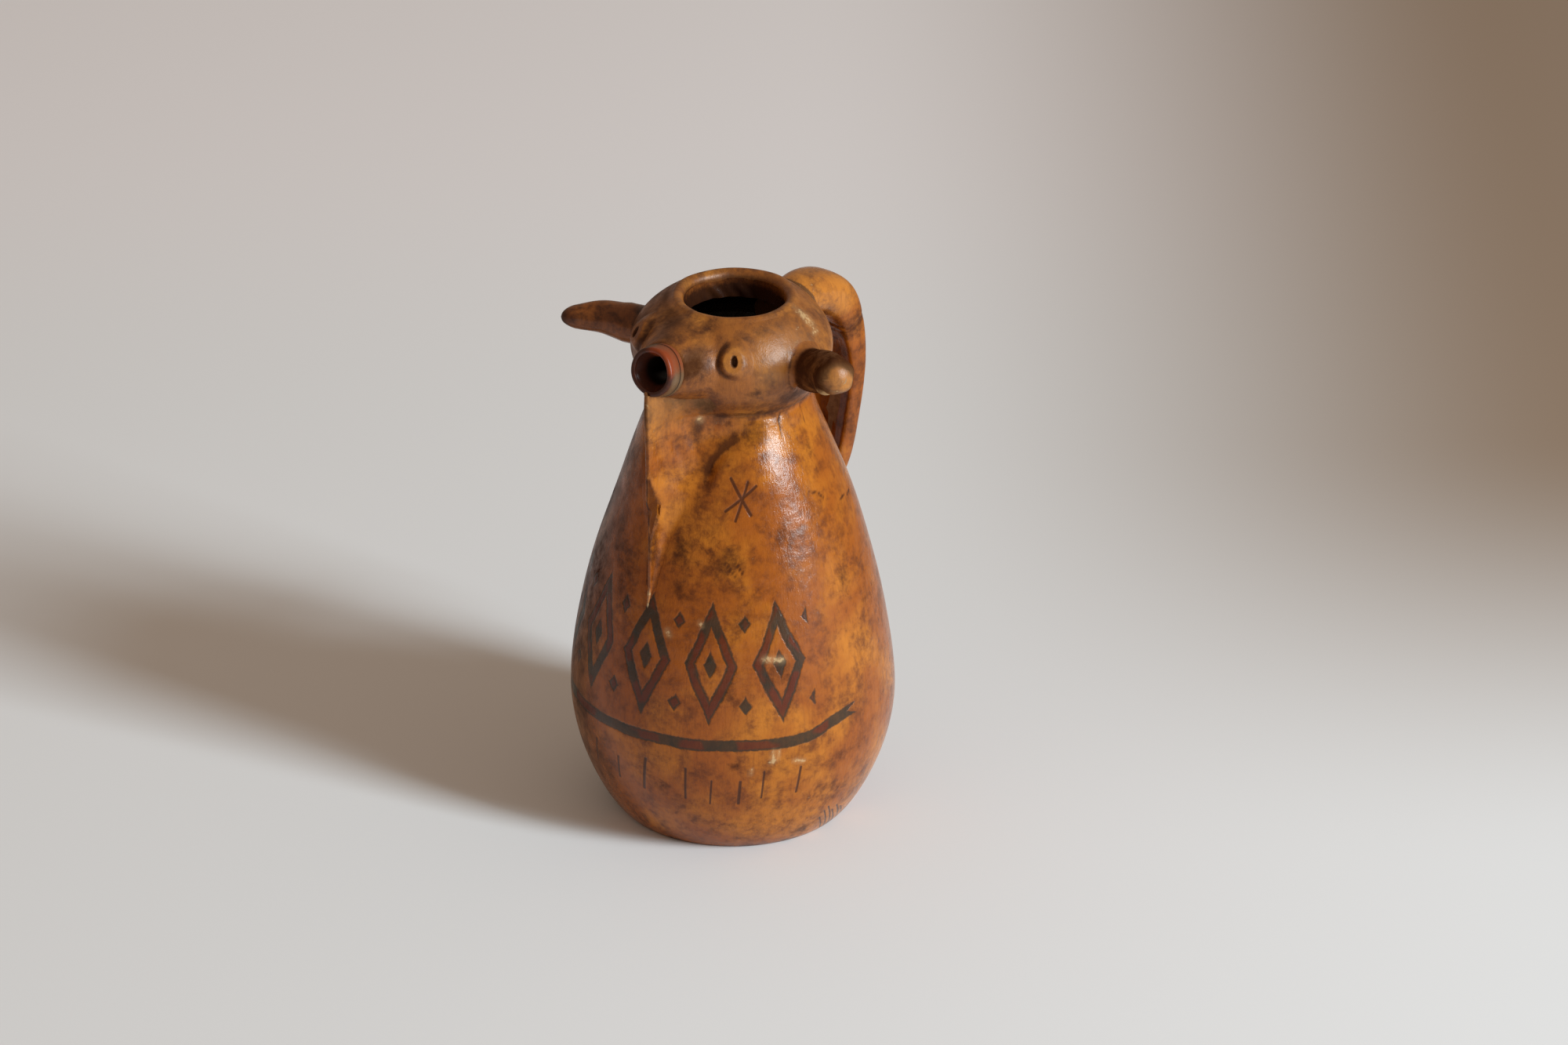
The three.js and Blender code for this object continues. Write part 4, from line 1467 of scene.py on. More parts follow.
@dataclass(frozen=True)
class BackdropFinish:
    """Plain pale paper, with painted shade on its far right and a painted brighter tone further off."""

    name: str
    aside: Vector
    away: Vector
    colour: Colour = (0.81, 0.79, 0.805)
    farther: Colour = (0.85, 0.80, 0.815)
    dim: Colour = (0.29, 0.20, 0.14)
    roughness: float = 0.85
    dim_behind: Span = (-80.0, 420.0)
    dim_beside: Span = (20.0, 480.0)
    far_edge: Span = (430.0, 860.0)

    def build(self) -> bpy.types.Material:
        """Return the material, with painted shade, dimmer and warmer, towards the far right, and a painted
        brighter tone further away.
        """
        material, graph = new_material(self.name)
        place = place_in_mm(graph)

        def reach(direction: Vector) -> Socket:
            """Return how far each place lies in a direction."""
            dot = graph.add("ShaderNodeVectorMath", {0: place, 1: direction}, operation="DOT_PRODUCT")
            return dot.outputs["Value"]

        distance = reach(self.away)
        behind = graph.step(distance, *self.dim_behind)
        beside = graph.step(reach(self.aside), *self.dim_beside)
        # Painted light: brighter and warmer further away; painted shade: dimmer and warmer on the far right.
        colour = graph.mix(graph.step(distance, *self.far_edge), self.colour, self.farther)
        colour = graph.mix(graph.times(behind, beside), colour, self.dim)
        graph.surface({"Base Color": colour, "Roughness": self.roughness})
        return material


@dataclass(frozen=True)
class Finishes:
    """Every finish of the pitcher, built once."""

    body: bpy.types.Material
    head: bpy.types.Material
    dark: bpy.types.Material
    spout: bpy.types.Material
    raw_leather: bpy.types.Material
    raw_wood: bpy.types.Material
    pitch: bpy.types.Material

    @classmethod
    def make(cls) -> "Finishes":
        """Return all the finishes."""
        shared = SharedEffects(
            round_group(), stroke_group(), mottle_group(), grain_group(), ornament_group(ORNAMENT)
        )
        undyed = PlainFinish(
            "raw_leather", (0.30, 0.15, 0.065), (0.20, 0.09, 0.035), roughness=0.8, relief=0.8
        )
        whittled = PlainFinish(
            "raw_wood", (0.42, 0.24, 0.11), (0.30, 0.16, 0.07), roughness=0.7, relief=0.5, stretch=0.3
        )
        pitch = PlainFinish("pitch", (0.012, 0.008, 0.006), (0.024, 0.014, 0.009), roughness=0.28, relief=0.6)
        return cls(
            body=LeatherFinish("body_leather", marked=True).build(shared),
            head=LeatherFinish(
                "head_leather",
                gold=(0.45, 0.165, 0.027),
                tan=(0.275, 0.085, 0.015),
                brown=(0.118, 0.034, 0.010),
                stain=(0.045, 0.015, 0.008),
                wash_and_shade=(0.085, 0.031, 0.011),
                pale=(0.58, 0.36, 0.17),
                darker=0.04,
                roughness_low=0.2,
                roughness_high=0.5,
            ).build(shared),
            # A darker copy of the leather; on the collar inside the mouth it is painted shade.
            dark=LeatherFinish(
                "dark_leather",
                gold=(0.26, 0.075, 0.014),
                tan=(0.125, 0.033, 0.008),
                brown=(0.055, 0.014, 0.006),
                stain=(0.016, 0.006, 0.004),
                wash_and_shade=(0.030, 0.015, 0.010),
            ).build(shared),
            spout=StainedWoodFinish("stained_wood").build(shared),
            raw_leather=undyed.build(shared),
            raw_wood=whittled.build(shared),
            pitch=pitch.build(shared),
        )


def dress_node(node: str, material: bpy.types.Material) -> None:
    """Give one of the frame's own pieces its finish."""
    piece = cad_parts[node]
    if not piece.data.materials:
        piece.data.materials.append(material)
    for slot in piece.material_slots:
        slot.material = material
    log.info("%s: kept as it is, in %s", node, material.name)


# The pitcher's sub-assemblies


@dataclass(frozen=True)
class Vessel:
    """The moulded body with its sole and its lining."""

    skin: VesselSkin = VESSEL
    hem: float = 13.0
    around: int = 336
    lower_rows: int = 60
    upper_rows: int = 116
    inner_step: int = 8
    inner_start: float = 2.0
    cut_relief: float = 0.25
    shift_begins: Span = (0.3, 4.0)

    def build(self, finishes: Finishes) -> None:
        """Make the body's skin and dress the pieces inside it."""
        outer = self.skin.outline(self.lower_rows, self.upper_rows)
        hem_edge = self.skin.foot_radius - self.hem
        foot = np.linspace((hem_edge, 0.0), (self.skin.foot_radius - self.skin.foot_rounding, 0.0), 6)
        inner = inset(outer, LEATHER)[:: self.inner_step][::-1]
        inner = inner[inner[:, 1] > LEATHER + self.inner_start]
        top = np.array([(self.skin.neck_radius - LEATHER, self.skin.top)])
        floor = np.array([(self.skin.foot_radius - LEATHER, LEATHER), (hem_edge, LEATHER)])
        bm = turned(np.concatenate([foot, outer, top, inner, floor]), self.around, closed=True)
        angle, radius, height = polar(places_of(bm))
        outside = radius > np.interp(height, outer[:, 1], outer[:, 0]) - 0.5 * LEATHER
        strokes = (*STAR, *TICKS, *PLEATS, *WRINKLES)
        cuts = sum(stroke.cut(angle, height, self.skin.mark_radius) for stroke in strokes)
        cut = (self.cut_relief * cuts + ORNAMENT.cut(angle, height)) * outside
        shift = (self.skin.shift(angle, height) - cut) * smooth(height, *self.shift_begins)
        moved = round_place(angle, radius + shift, height)
        move_to(bm, moved)
        finished("body_skin_shown", bm, finishes.body, ["body_skin"], WEAR_AND_LIGHT.masks(moved))
        dress_node("base_sole", finishes.raw_leather)
        dress_node("pitch_lining", finishes.pitch)


@dataclass(frozen=True)
class Head:
    """The head's skin with the collar turned in at its mouth."""

    skin: HeadSkin = HEAD
    around: int = 288
    lower_rows: int = 26
    upper_rows: int = 40
    crest_radius: float = 3.4
    crest_lift: float = -0.1
    lip_depth: float = 4.0
    collar_radius: float = 24.6
    collar_depth: float = 13.5
    tenon_radius: float = 9.9
    crest_inset: float = 3.0
    crest_turn: Span = (117.0, -10.0)
    crest_rows: int = 16
    inner_step: int = 6
    hem_step: float = 0.2
    lip_inset: float = 2.4
    lip_drop: float = 2.0
    collar_around: int = 240
    collar_slant: float = 1.6
    gathers: tuple[Wave, ...] = (Wave(0.45, 13.0), Wave(0.4, 23.0, phase=40.0))
    even_gather: float = 0.12
    back_gather: float = 0.6
    back_gather_angle: float = 235.0
    back_gather_spread: float = 36.0
    gather_begins: Span = (0.0, 7.0)

    def build(self, finishes: Finishes) -> None:
        """Make the head's skin and the mouth's collar."""
        self.build_skin(finishes)
        self.build_collar(finishes)

    def crest(self) -> Values:
        """Return the rounded edge of the mouth, from outside to inside."""
        turn = np.radians(np.linspace(*self.crest_turn, self.crest_rows))
        inner = self.skin.mouth_radius - self.crest_inset
        top = self.skin.mouth_height + self.crest_lift
        middle = np.array([inner + self.crest_radius, top - self.crest_radius])
        return middle + self.crest_radius * np.stack([-np.cos(turn), np.sin(turn)], axis=1)

    def build_skin(self, finishes: Finishes) -> None:
        """Make the head's skin, with a hole for the spout."""
        outer = self.skin.outline(self.lower_rows, self.upper_rows)
        inner = inset(outer, LEATHER)[:: self.inner_step][::-1]
        crest = self.crest()
        below_widest = outer[:, 1] < self.skin.base + self.skin.widest_lift
        outer = outer[below_widest | (outer[:, 0] > crest[0, 0] + 0.7)]
        above_neck = inner[:, 1] > self.skin.vessel.top + 1.0
        inner = inner[above_neck & (inner[:, 1] < self.skin.mouth_height - 6.0)]
        hole = self.skin.vessel.neck_radius + CLEARANCE
        hem = np.array([
            (hole, self.skin.vessel.top + CLEARANCE),
            (hole, self.skin.base + self.skin.hem_lift),
            (hole + self.skin.hem_rounding * 0.7, self.skin.base + self.skin.hem_lift + self.hem_step),
        ])
        lip_height = self.skin.mouth_height - self.lip_depth - self.lip_drop
        lip = np.array([(self.skin.mouth_radius - self.lip_inset, lip_height)])
        bm = turned(np.concatenate([outer, crest, lip, inner, hem]), self.around, closed=True)
        angle, radius, height = polar(places_of(bm))
        outside = self.skin.shift(angle, height)
        moved = round_place(angle, radius + outside, height)
        move_to(bm, moved)
        self.cut_spout_hole(bm)
        masks = WEAR_AND_LIGHT.masks(places_of(bm))
        finished("head_skin_shown", bm, finishes.head, ["head_skin"], masks)

    def cut_spout_hole(self, bm: bmesh.types.BMesh) -> None:
        """Open both walls for the spout's tenon and join their edges."""
        line = SPOUT.axis()
        root = SPOUT.face()
        doomed = []
        for face in bm.faces:
            middle = np.array(face.calc_center_median()) - root
            along = middle @ line
            across = np.linalg.norm(middle - along * line)
            if across < self.tenon_radius and middle[1] < 40.0:
                doomed.append(face)
        bmesh.ops.delete(bm, geom=doomed, context="FACES")
        edges = [edge for edge in bm.edges if edge.is_boundary]
        bmesh.ops.bridge_loops(bm, edges=edges)

    def build_collar(self, finishes: Finishes) -> None:
        """Make the strip turned in at the mouth, gathered into pleats."""
        top = self.skin.mouth_height - self.lip_depth
        bottom = self.skin.mouth_height - self.collar_depth
        outer = np.linspace((self.collar_radius + 1.6, bottom), (self.collar_radius + 0.8, top), 8)
        inner = np.linspace(
            (self.collar_radius - 0.4, top + 0.4), (self.collar_radius - 1.2, bottom + 0.3), 14
        )
        bm = turned(np.concatenate([outer, inner]), self.collar_around, closed=True)
        angle, radius, height = polar(places_of(bm))
        slant = angle + (top - height) * self.collar_slant
        at_back = bell(np.mod(slant, 360.0), self.back_gather_angle, self.back_gather_spread)
        gathered = self.even_gather + self.back_gather * at_back
        deeper = smooth(top - height, *self.gather_begins)
        pleats = sum(wave.at(slant) for wave in self.gathers) * gathered * deeper
        move_to(bm, round_place(angle, radius + self.skin.mouth_shift(angle) + pleats, height))
        # Painted shade, darker deeper into the mouth.
        stain = 0.6 + 0.9 * smooth(top - height, 0.5, 6.0)
        masks = {Mask.STAIN: stain, Mask.WASH_AND_SHADE: np.zeros(len(stain)), Mask.WORN_AND_LIT: 0.3 * (1 - deeper)}
        finished("mouth_collar_shown", bm, finishes.dark, ["mouth_collar"], masks)


@dataclass(frozen=True)
class Spout:
    """The turned spout, leaning up out of the muzzle."""

    reach: float = 9.4
    face_radius: float = 12.0
    flange_radius: float = 13.0
    tenon_radius: float = 9.6
    bore_radius: float = 6.3
    lip_radius: float = 8.6
    inside: float = 15.0
    around: int = 128
    bead: float = 1.4
    uneven: tuple[Wave, ...] = (Wave(0.12, 3.0), Wave(0.1, 5.0, phase=50.0))
    uneven_radius: float = 12.0
    lit_angle: float = 145.0

    def axis(self) -> Values:
        """Return the unit vector out of the spout."""
        tilt = math.radians(HEAD.spout_tilt)
        return np.array([0.0, -math.cos(tilt), math.sin(tilt)])

    def face(self) -> Values:
        """Return the middle of the spout's face."""
        return np.array([0.0, -HEAD.muzzle_front, HEAD.spout_height]) + self.reach * self.axis()

    def outline(self) -> Values:
        """Return the spout's outline, from its inner end round its face and back up its bore."""
        back = -self.reach - self.inside
        rim = self.face_radius - self.bead
        seat = -self.reach - HEAD.muzzle_swell * 0.6
        turn = np.radians(np.linspace(-10.0, 150.0, 12))
        bead = np.stack([rim + self.bead * np.cos(turn), self.bead * np.sin(turn) - self.bead], axis=1)
        side = np.array([
            (self.tenon_radius, back),
            (self.tenon_radius, seat),
            (self.flange_radius - 0.6, seat),
            (self.flange_radius - 0.1, -self.reach + 1.2),
            (self.flange_radius - 0.1, -self.reach + 2.1),
            (self.flange_radius - 0.5, -self.reach + 2.4),
            (self.flange_radius - 0.3, -self.reach + 2.8),
            (self.flange_radius - 0.8, -self.reach * 0.4),
        ])
        cone = bezier(
            (
                (rim - 1.2, -0.9),
                (self.lip_radius, -2.6),
                (self.bore_radius + 0.8, -4.5),
                (self.bore_radius, -8.0),
            ),
            10,
        )
        bore = np.array([(self.bore_radius, -14.0), (self.bore_radius, back)])
        return np.concatenate([side, bead, cone, bore])

    def build(self, finishes: Finishes) -> None:
        """Make the spout."""
        bm = turned(self.outline(), self.around, closed=True)
        local, radius, depth = polar(places_of(bm))
        wider = 1 + sum(wave.at(local) for wave in self.uneven) / self.uneven_radius
        move_to(bm, round_place(local, radius * wider, depth))
        lean = Matrix.Rotation(math.radians(90.0 - HEAD.spout_tilt), 3, "X")
        bmesh.ops.rotate(bm, cent=(0, 0, 0), matrix=lean, verts=bm.verts)
        bmesh.ops.translate(bm, vec=self.face(), verts=bm.verts)
        # Painted shade: black deep in the bore and in the thin groove round the flange.
        inside = smooth(-depth, 3.0, 9.0) * (radius < self.bore_radius + 1.0)
        ring = bell(depth, -self.reach + 2.5, 0.3) * (radius > self.face_radius)
        outer_side = (radius > self.face_radius - 1.0) * smooth(-depth, 0.8, 2.5)
        # Painted light: redder and less grey on the side that faces the window.
        lit = smooth(np.cos(np.radians(local - self.lit_angle)), 0.45, 0.95)
        masks = {
            Mask.STAIN: np.maximum(inside, ring),
            Mask.WASH_AND_SHADE: outer_side * (0.8 - 0.35 * lit),
            Mask.WORN_AND_LIT: 0.1 + 0.8 * lit,
        }
        finished("spout_shown", bm, finishes.spout, ["spout"], masks)


SPOUT = Spout()


@dataclass(frozen=True)
class Eye:
    """A low boss of leather with a slit for a pupil."""

    side: Side
    angle: float = 37.6
    lift: float = 34.5
    radius: float = 8.0
    skirt: float = 11.0
    proud: float = 3.5
    dish: float = 0.1
    slit_width: float = 1.5
    slit_height: float = 2.3
    slit_depth: float = 0.8
    rings: int = 40
    around: int = 72

    def build(self, finishes: Finishes) -> None:
        """Make the boss, its skirt feathered into the cheek."""
        ring = np.linspace(0.02, 1.0, self.rings)
        bm = turned(np.stack([ring * self.skirt, np.zeros(self.rings)], axis=1), self.around)
        ends = [edge for edge in bm.edges if edge.is_boundary and edge.verts[0].co.xy.length < 1.0]
        bmesh.ops.holes_fill(bm, edges=ends, sides=0)
        flat = places_of(bm)
        across = np.hypot(flat[:, 0], flat[:, 1])
        middle = self.angle * self.side.value
        height = HEAD.base + self.lift + flat[:, 1]
        base_radius = float(HEAD.radius(np.array([middle]), np.array([HEAD.base + self.lift]))[0])
        angle = middle + np.degrees(flat[:, 0] / base_radius)
        brow = smooth(flat[:, 0] * self.side.value, -1.0, 5.0)
        wall = 1 - smooth(across - 2.0 * brow, self.radius - 3.2 - 3.0 * brow, self.radius + 0.8)
        top = self.proud - self.dish * (1 - smooth(across, 0.0, self.radius - 2.4))
        slit = np.hypot(flat[:, 0] / self.slit_width, flat[:, 1] / self.slit_height)
        hole = 1 - smooth(slit, 0.55, 1.15)
        edge = 0.6 * smooth(across, self.radius + 1.5, self.skirt)
        scale = 1.0 if self.side is Side.LEFT else 0.75
        rise = top * wall * scale * (1 - self.slit_depth * hole) - edge
        skin = round_place(angle, HEAD.radius(angle, height), height)
        outwards = round_place(np.array([middle]), np.array([1.0]), np.array([0.45]))[0]
        outwards /= np.linalg.norm(outwards)
        moved = skin + rise[:, None] * outwards
        move_to(bm, moved)
        bmesh.ops.recalc_face_normals(bm, faces=bm.faces)
        masks = WEAR_AND_LIGHT.masks(moved)
        # Painted shade: the dark crescent on the boss's flank away from the window, and the dark inside of
        # the slit.
        shaded = smooth(-flat[:, 0] * self.side.value, -1.5, 5.0) * bell(across, self.radius - 0.6, 1.7)
        pupil = 1.5 * (1 - smooth(slit, 0.8, 1.6))
        masks[Mask.STAIN] = np.maximum.reduce([masks[Mask.STAIN] * 0.6, pupil, shaded])
        masks[Mask.WORN_AND_LIT] = np.maximum(masks[Mask.WORN_AND_LIT], 0.6 * wall * (self.side is Side.LEFT))
        name = f"eye_{self.side.name.lower()}"
        finished(f"{name}_shown", bm, finishes.head, [name], masks)


@dataclass(frozen=True)
class Horn:
    """A leather sleeve drawn over a wooden core, its root spread on the head in a soft fillet."""

    side: Side
    lift: float
    rise: float
    arch: float
    stem_radius: float
    tip_radius: float
    out: float = 32.0
    forward: float = 18.2
    root_forward: float = 5.8
    fillet: float = 4.5
    spread: float = 5.0
    feather: float = 1.5
    root_rows: float = 0.26
    around: int = 80
    along: int = 120
    lump: bool = False
    step: float = 0.01
    taper_start: float = 0.3
    closing_start: float = 0.84
    closed_share: float = 0.03
    crinkles: tuple[Wave, ...] = (Wave(0.18, 2.0, 500.0), Wave(0.14, 3.0, -800.0))
    lump_angle: float = 296.0
    folds: Wave = Wave(0.4, 7.0)
    chips: Wave = Wave(0.4, 5.0, phase=40.0)
    foot_share: float = 0.15
    past_power: float = 0.85
    stand_off: float = 20.0
    drop: float = 60.0

    def line(self, share: Values) -> Values:
        """Return places along the horn's middle line."""
        height = HEAD.base + self.lift
        surface = float(HEAD.turned_radius(np.array([height]))[0])
        side = self.side.value
        root = np.array([side * (surface + LEATHER), -self.root_forward, height])
        tip = root + np.array([side * self.out, -self.forward, self.rise])
        bend = (root + tip) / 2 + np.array([0.0, self.forward * 0.12, self.arch])
        start = np.array([side * (surface - LEATHER * 1.5), -self.root_forward * 0.6, height])
        return spline([start, root, bend, tip], share)

    def radius(self, share: Values) -> Values:
        """Return the stem's radius along the horn."""
        narrower = np.clip((share - self.taper_start) / (1 - self.taper_start), 0.0, 1.0)
        taper = self.stem_radius + (self.tip_radius - self.stem_radius) * narrower
        to_tip = np.clip((share - self.closing_start) / (1 - self.closing_start), 0.0, 1.0)
        return taper * np.maximum(np.sqrt(np.clip(1 - to_tip**2, 0.0, 1.0)), self.closed_share)

    def stem(self, turn: Values, share: Values) -> Values:
        """Return places on the stem, by the turn round it and the share along it."""
        middle = self.line(share)
        ahead = heading(self.line, share, self.step)
        flank = unit(np.cross(ahead, (0.0, 0.0, 1.0)))
        upward = np.cross(flank, ahead)
        local = np.mod(np.degrees(turn), 360.0)
        crinkle = sum(wave.at(local, share) for wave in self.crinkles)
        radius = self.radius(share) + crinkle * smooth(share, 0.3, 0.4) * (1 - smooth(share, 0.85, 1.0))
        if self.lump:
            below = self.lump_angle
            radius = radius + 2.2 * bell(share, 0.63, 0.05) * bell(local, below, 22.0)
            radius = radius - 0.9 * bell(share, 0.53, 0.025) * bell(local, below, 46.0)
            radius = radius + self.folds.at(local) * bell(share, 0.64, 0.08) * bell(local, below, 50.0)
            radius = radius + self.chips.at(local) * bell(share, 0.86, 0.07)
        return middle + radius[:, None] * (np.cos(turn)[:, None] * flank + np.sin(turn)[:, None] * upward)

    def place(self, around: Values, along: Values) -> Values:
        """Return the sleeve's places at shares of the way round and along."""
        share_at_root = self.taper_start
        turn = math.tau * around
        column_turn, column = np.unique(np.round(turn, 6), return_inverse=True)
        ends = self.line(np.array([share_at_root - 0.02, share_at_root + 0.02]))
        axis = ends[1] - ends[0]
        per_share = np.linalg.norm(axis) / 0.04
        axis /= np.linalg.norm(axis)
        ring = self.stem(column_turn, np.full(len(column_turn), share_at_root))
        middle = self.line(np.array([share_at_root]))
        above = ring + axis * self.stand_off
        corner = drop_to_skin(above, -axis, self.drop)
        top_share = share_at_root + ((corner - ring) @ axis + self.fillet) / per_share
        top = self.stem(column_turn, top_share)
        outwards = unit(ring - middle)
        spread = drop_to_skin(above + outwards * self.spread, -axis, self.drop)
        feather = drop_to_skin(above + outwards * (self.spread + self.feather), -axis, self.drop)
        feather = feather - axis * 0.5
        q = np.clip(along / self.root_rows, 0.0, 1.0)
        bend = np.clip((q - self.foot_share) / (1 - self.foot_share), 0.0, 1.0)[:, None]
        rest = 1 - bend
        fillet = rest**2 * spread[column] + 2 * bend * rest * corner[column] + bend**2 * top[column]
        sunk = np.clip(q / self.foot_share, 0.0, 1.0)[:, None]
        foot = feather[column] * (1 - sunk) + spread[column] * sunk
        past = np.clip((along - self.root_rows) / (1 - self.root_rows), 0.0, 1.0) ** self.past_power
        share = top_share[column] + (1 - top_share[column]) * past
        on_stem = self.stem(turn, share)
        on_root = np.where((q < self.foot_share)[:, None], foot, fillet)
        return np.where((along < self.root_rows)[:, None], on_root, on_stem)

    def build(self, finishes: Finishes) -> None:
        """Make the sleeve and dress its core."""
        bm = wrapped(self.around, self.along, self.place)
        moved = places_of(bm)
        tip = self.line(np.array([1.0]))[0]
        from_tip = np.linalg.norm(moved - tip, axis=1)
        gap = off_skin(moved)
        below = (self.line(np.array([0.6]))[0][2] - moved[:, 2]) / self.stem_radius
        slanting = from_tip - 3.5 * below
        orange = 1 - smooth(slanting, 8.0, 13.5)
        pale_lump = bell(from_tip, 17.0, 3.2) * smooth(below, 0.45, 0.85) * self.lump
        chips = bell(from_tip, 6.5, 2.2) * smooth(below, 0.0, 0.5)
        forward = -moved[:, 1] + 0.4 * (HEAD.base + self.lift - moved[:, 2])
        ring = bell(gap, 0.5, 0.35) * smooth(forward, 2.0, 9.0)
        left = self.side is Side.LEFT
        if left:
            stained_and_shaded = 0.3 + 0.45 * (1 - orange)
            washed_and_shaded = 0.36 + 0.3 * (1 - orange) + 0.4 * bell(slanting, 10.5, 2.6)
        else:
            stained_and_shaded = 0.25
            washed_and_shaded = 0.6 * (1 - smooth(from_tip, 2.0, 9.0)) + 0.1
        masks = {
            Mask.STAIN: np.maximum(0.75 * ring, stained_and_shaded * smooth(gap, 0.3, 3.0)),
            Mask.WASH_AND_SHADE: washed_and_shaded,
            Mask.WORN_AND_LIT: 0.35 * orange if left else 0.8 * smooth(below, -0.3, 0.6),
            Mask.PALE: np.maximum.reduce([1.2 * pale_lump, 0.2 * orange * left, 0.7 * chips * left]),
        }
        skin = WEAR_AND_LIGHT.masks(moved)
        blend = 1 - smooth(gap, 0.3, 5.0)
        skin[Mask.STAIN] = np.maximum(skin[Mask.STAIN], 0.7 * ring)
        for mask in (Mask.STAIN, Mask.WASH_AND_SHADE, Mask.WORN_AND_LIT):
            masks[mask] = masks[mask] * (1 - blend) + skin[mask] * blend
        name = f"horn_{self.side.name.lower()}"
        material = finishes.head if left else finishes.dark
        finished(f"{name}_shown", bm, material, [f"{name}_skin"], masks)
        dress_node(f"{name}_core", finishes.raw_wood)


@dataclass(frozen=True)
class ThroatFold:
    """The fin of doubled skin from the muzzle down to the chest, and the sewn edges below it."""

    front: float = 69.0
    top: float = 244.0
    tail: float = 136.0
    edge: float = 2.5
    tail_edge: float = 1.8
    notch_height: float = 180.0
    spout_gap: float = 0.35
    columns: int = 150
    rows: int = 190
    welt_top: float = 146.0
    welt_bottom: float = 129.0
    nose_share: float = 0.14
    flank_share: float = 0.82
    outer_half: float = 0.36
    parting: float = 1.3
    swaying: Wave = Wave(0.5, 4.0)
    wrinkles: Wave = Wave(0.35, 38.0, 14.0)

    def levels(self, height: Values) -> tuple[Values, Values, Values]:
        """Return the fold's front, its thickness and the angle where it joins the neck."""
        rows = np.array([
            (self.tail - 8.0, 66.6, 2.2),
            (self.tail, 67.4, 2.6),
            (147.0, 67.6, 3.3),
            (161.0, 66.9, 4.8),
            (168.0, 66.6, 6.4),
            (176.0, 67.2, 10.5),
            (187.0, self.front, 17.5),
            (204.0, self.front, 25.0),
            (226.0, self.front, 31.0),
            (236.0, self.front, 24.0),
            (self.top, self.front - 0.8, 17.0),
        ])
        heights, fronts, merges = rows.T
        front = np.interp(height, heights, fronts)
        merge = np.interp(height, heights, merges)
        thick = self.tail_edge + (self.edge - self.tail_edge) * smooth(height, 165.0, 215.0)
        return front, thick, merge

    def flank(self, share: Values, height: Values) -> Values:
        """Return places on the left flank.

        Args:
            share: From 0 at the front edge to 1 past where the flank joins the skin.
            height: The height of each place.

        Returns:
            Places in millimetres.
        """
        front, thick, merge = self.levels(height)
        half = thick / 2
        root = skin_radius(merge, height)
        turn = np.radians(merge)
        joins = np.stack([root * np.sin(turn), -root * np.cos(turn)], axis=1)
        tangent = np.stack([np.cos(turn), np.sin(turn)], axis=1)
        start = np.stack([half, -front + half * 0.7], axis=1)
        reach = np.maximum(front - root, 0.5)
        leave = start + np.stack([0.04 * reach, 0.62 * reach], axis=1)
        arrive = joins - tangent * (0.36 * reach)[:, None]
        t = np.clip((share - self.nose_share) / (self.flank_share - self.nose_share), 0.0, 1.0)[:, None]
        rest = 1 - t
        along = rest**3 * start + 3 * rest**2 * t * leave + 3 * rest * t**2 * arrive + t**3 * joins
        nose_turn = np.radians(np.clip(share / self.nose_share, 0.0, 1.0) * 90.0)
        nose_back = half * 0.7 * (1 - np.cos(nose_turn) ** 0.8)
        nose = np.stack([half * np.sin(nose_turn) ** 0.8, nose_back - front], axis=1)
        past = np.clip((share - self.flank_share) / (1 - self.flank_share), 0.0, 1.0)
        spread = merge + past * 9.0
        tucked = round_place(spread, skin_radius(spread, height) - 0.9 * past**1.3 - 0.02, height)[:, :2]
        flat = np.where(share[:, None] < self.flank_share, along, tucked)
        flat = np.where(share[:, None] < self.nose_share, nose, flat)
        return np.concatenate([flat, height[:, None]], axis=1)

    def recess(self, places: Values, side: Values) -> Values:
        """Return how far the flank stands back where the two skins part above the seam."""
        back = self.front + places[:, 1]
        opening = 8.5 * bell(places[:, 2], self.notch_height + 1.0, 15.0)
        stepped = 1 - smooth(back, opening - 1.6, opening + 0.4)
        return self.parting * stepped * smooth(opening, 0.8, 3.0) * (side > 0)

    def place(self, around: Values, along: Values) -> Values:
        """Return the fold's places at shares of the way round and along."""
        height = self.tail + (self.top - self.tail) * along
        off_seam = np.abs(around - 0.5)
        share = np.clip(off_seam / self.outer_half, 0.0, 1.0)
        side = np.where(around > 0.5, 1.0, -1.0)
        places = self.flank(share, height)
        inner = np.clip((off_seam - self.outer_half) / (0.5 - self.outer_half), 0.0, 1.0)
        places[:, 0] *= 1 - inner
        places[:, 1] += 4.0 * inner
        thinner = np.minimum(self.recess(places, side), places[:, 0] * 0.6)
        places[:, 0] -= thinner
        sway = self.swaying.at(height) * smooth(height, 150.0, 170.0) * (1 - share) ** 2
        places[:, 0] *= side
        places[:, 0] += sway * (1 - inner)
        notch = 2.2 * bell(height, self.notch_height, 2.6) * bell(places[:, 0], 0.4, 1.4) * (share < 0.3)
        places[:, 1] += notch
        wrinkle = self.wrinkles.at(places[:, 1], height) * bell(share, 0.45, 0.2)
        places[:, 0] += wrinkle * side * smooth(height, 190.0, 205.0) * (1 - inner)
        return self.clear_of_spout(places)

    def clear_of_spout(self, places: Values) -> Values:
        """Return the places moved out of the spout's wall."""
        line = SPOUT.axis()
        local = places - SPOUT.face()
        along = local @ line
        across = local - along[:, None] * line
        distance = np.maximum(np.linalg.norm(across, axis=1), TINY)
        wall = np.where(along > -SPOUT.reach, SPOUT.face_radius, SPOUT.flange_radius) - self.spout_gap
        inside = (distance < wall) & (along < 1.0) & (along > -SPOUT.reach - 12.0)
        push = np.where(inside, wall / distance, 1.0)
        return SPOUT.face() + along[:, None] * line + across * push[:, None]

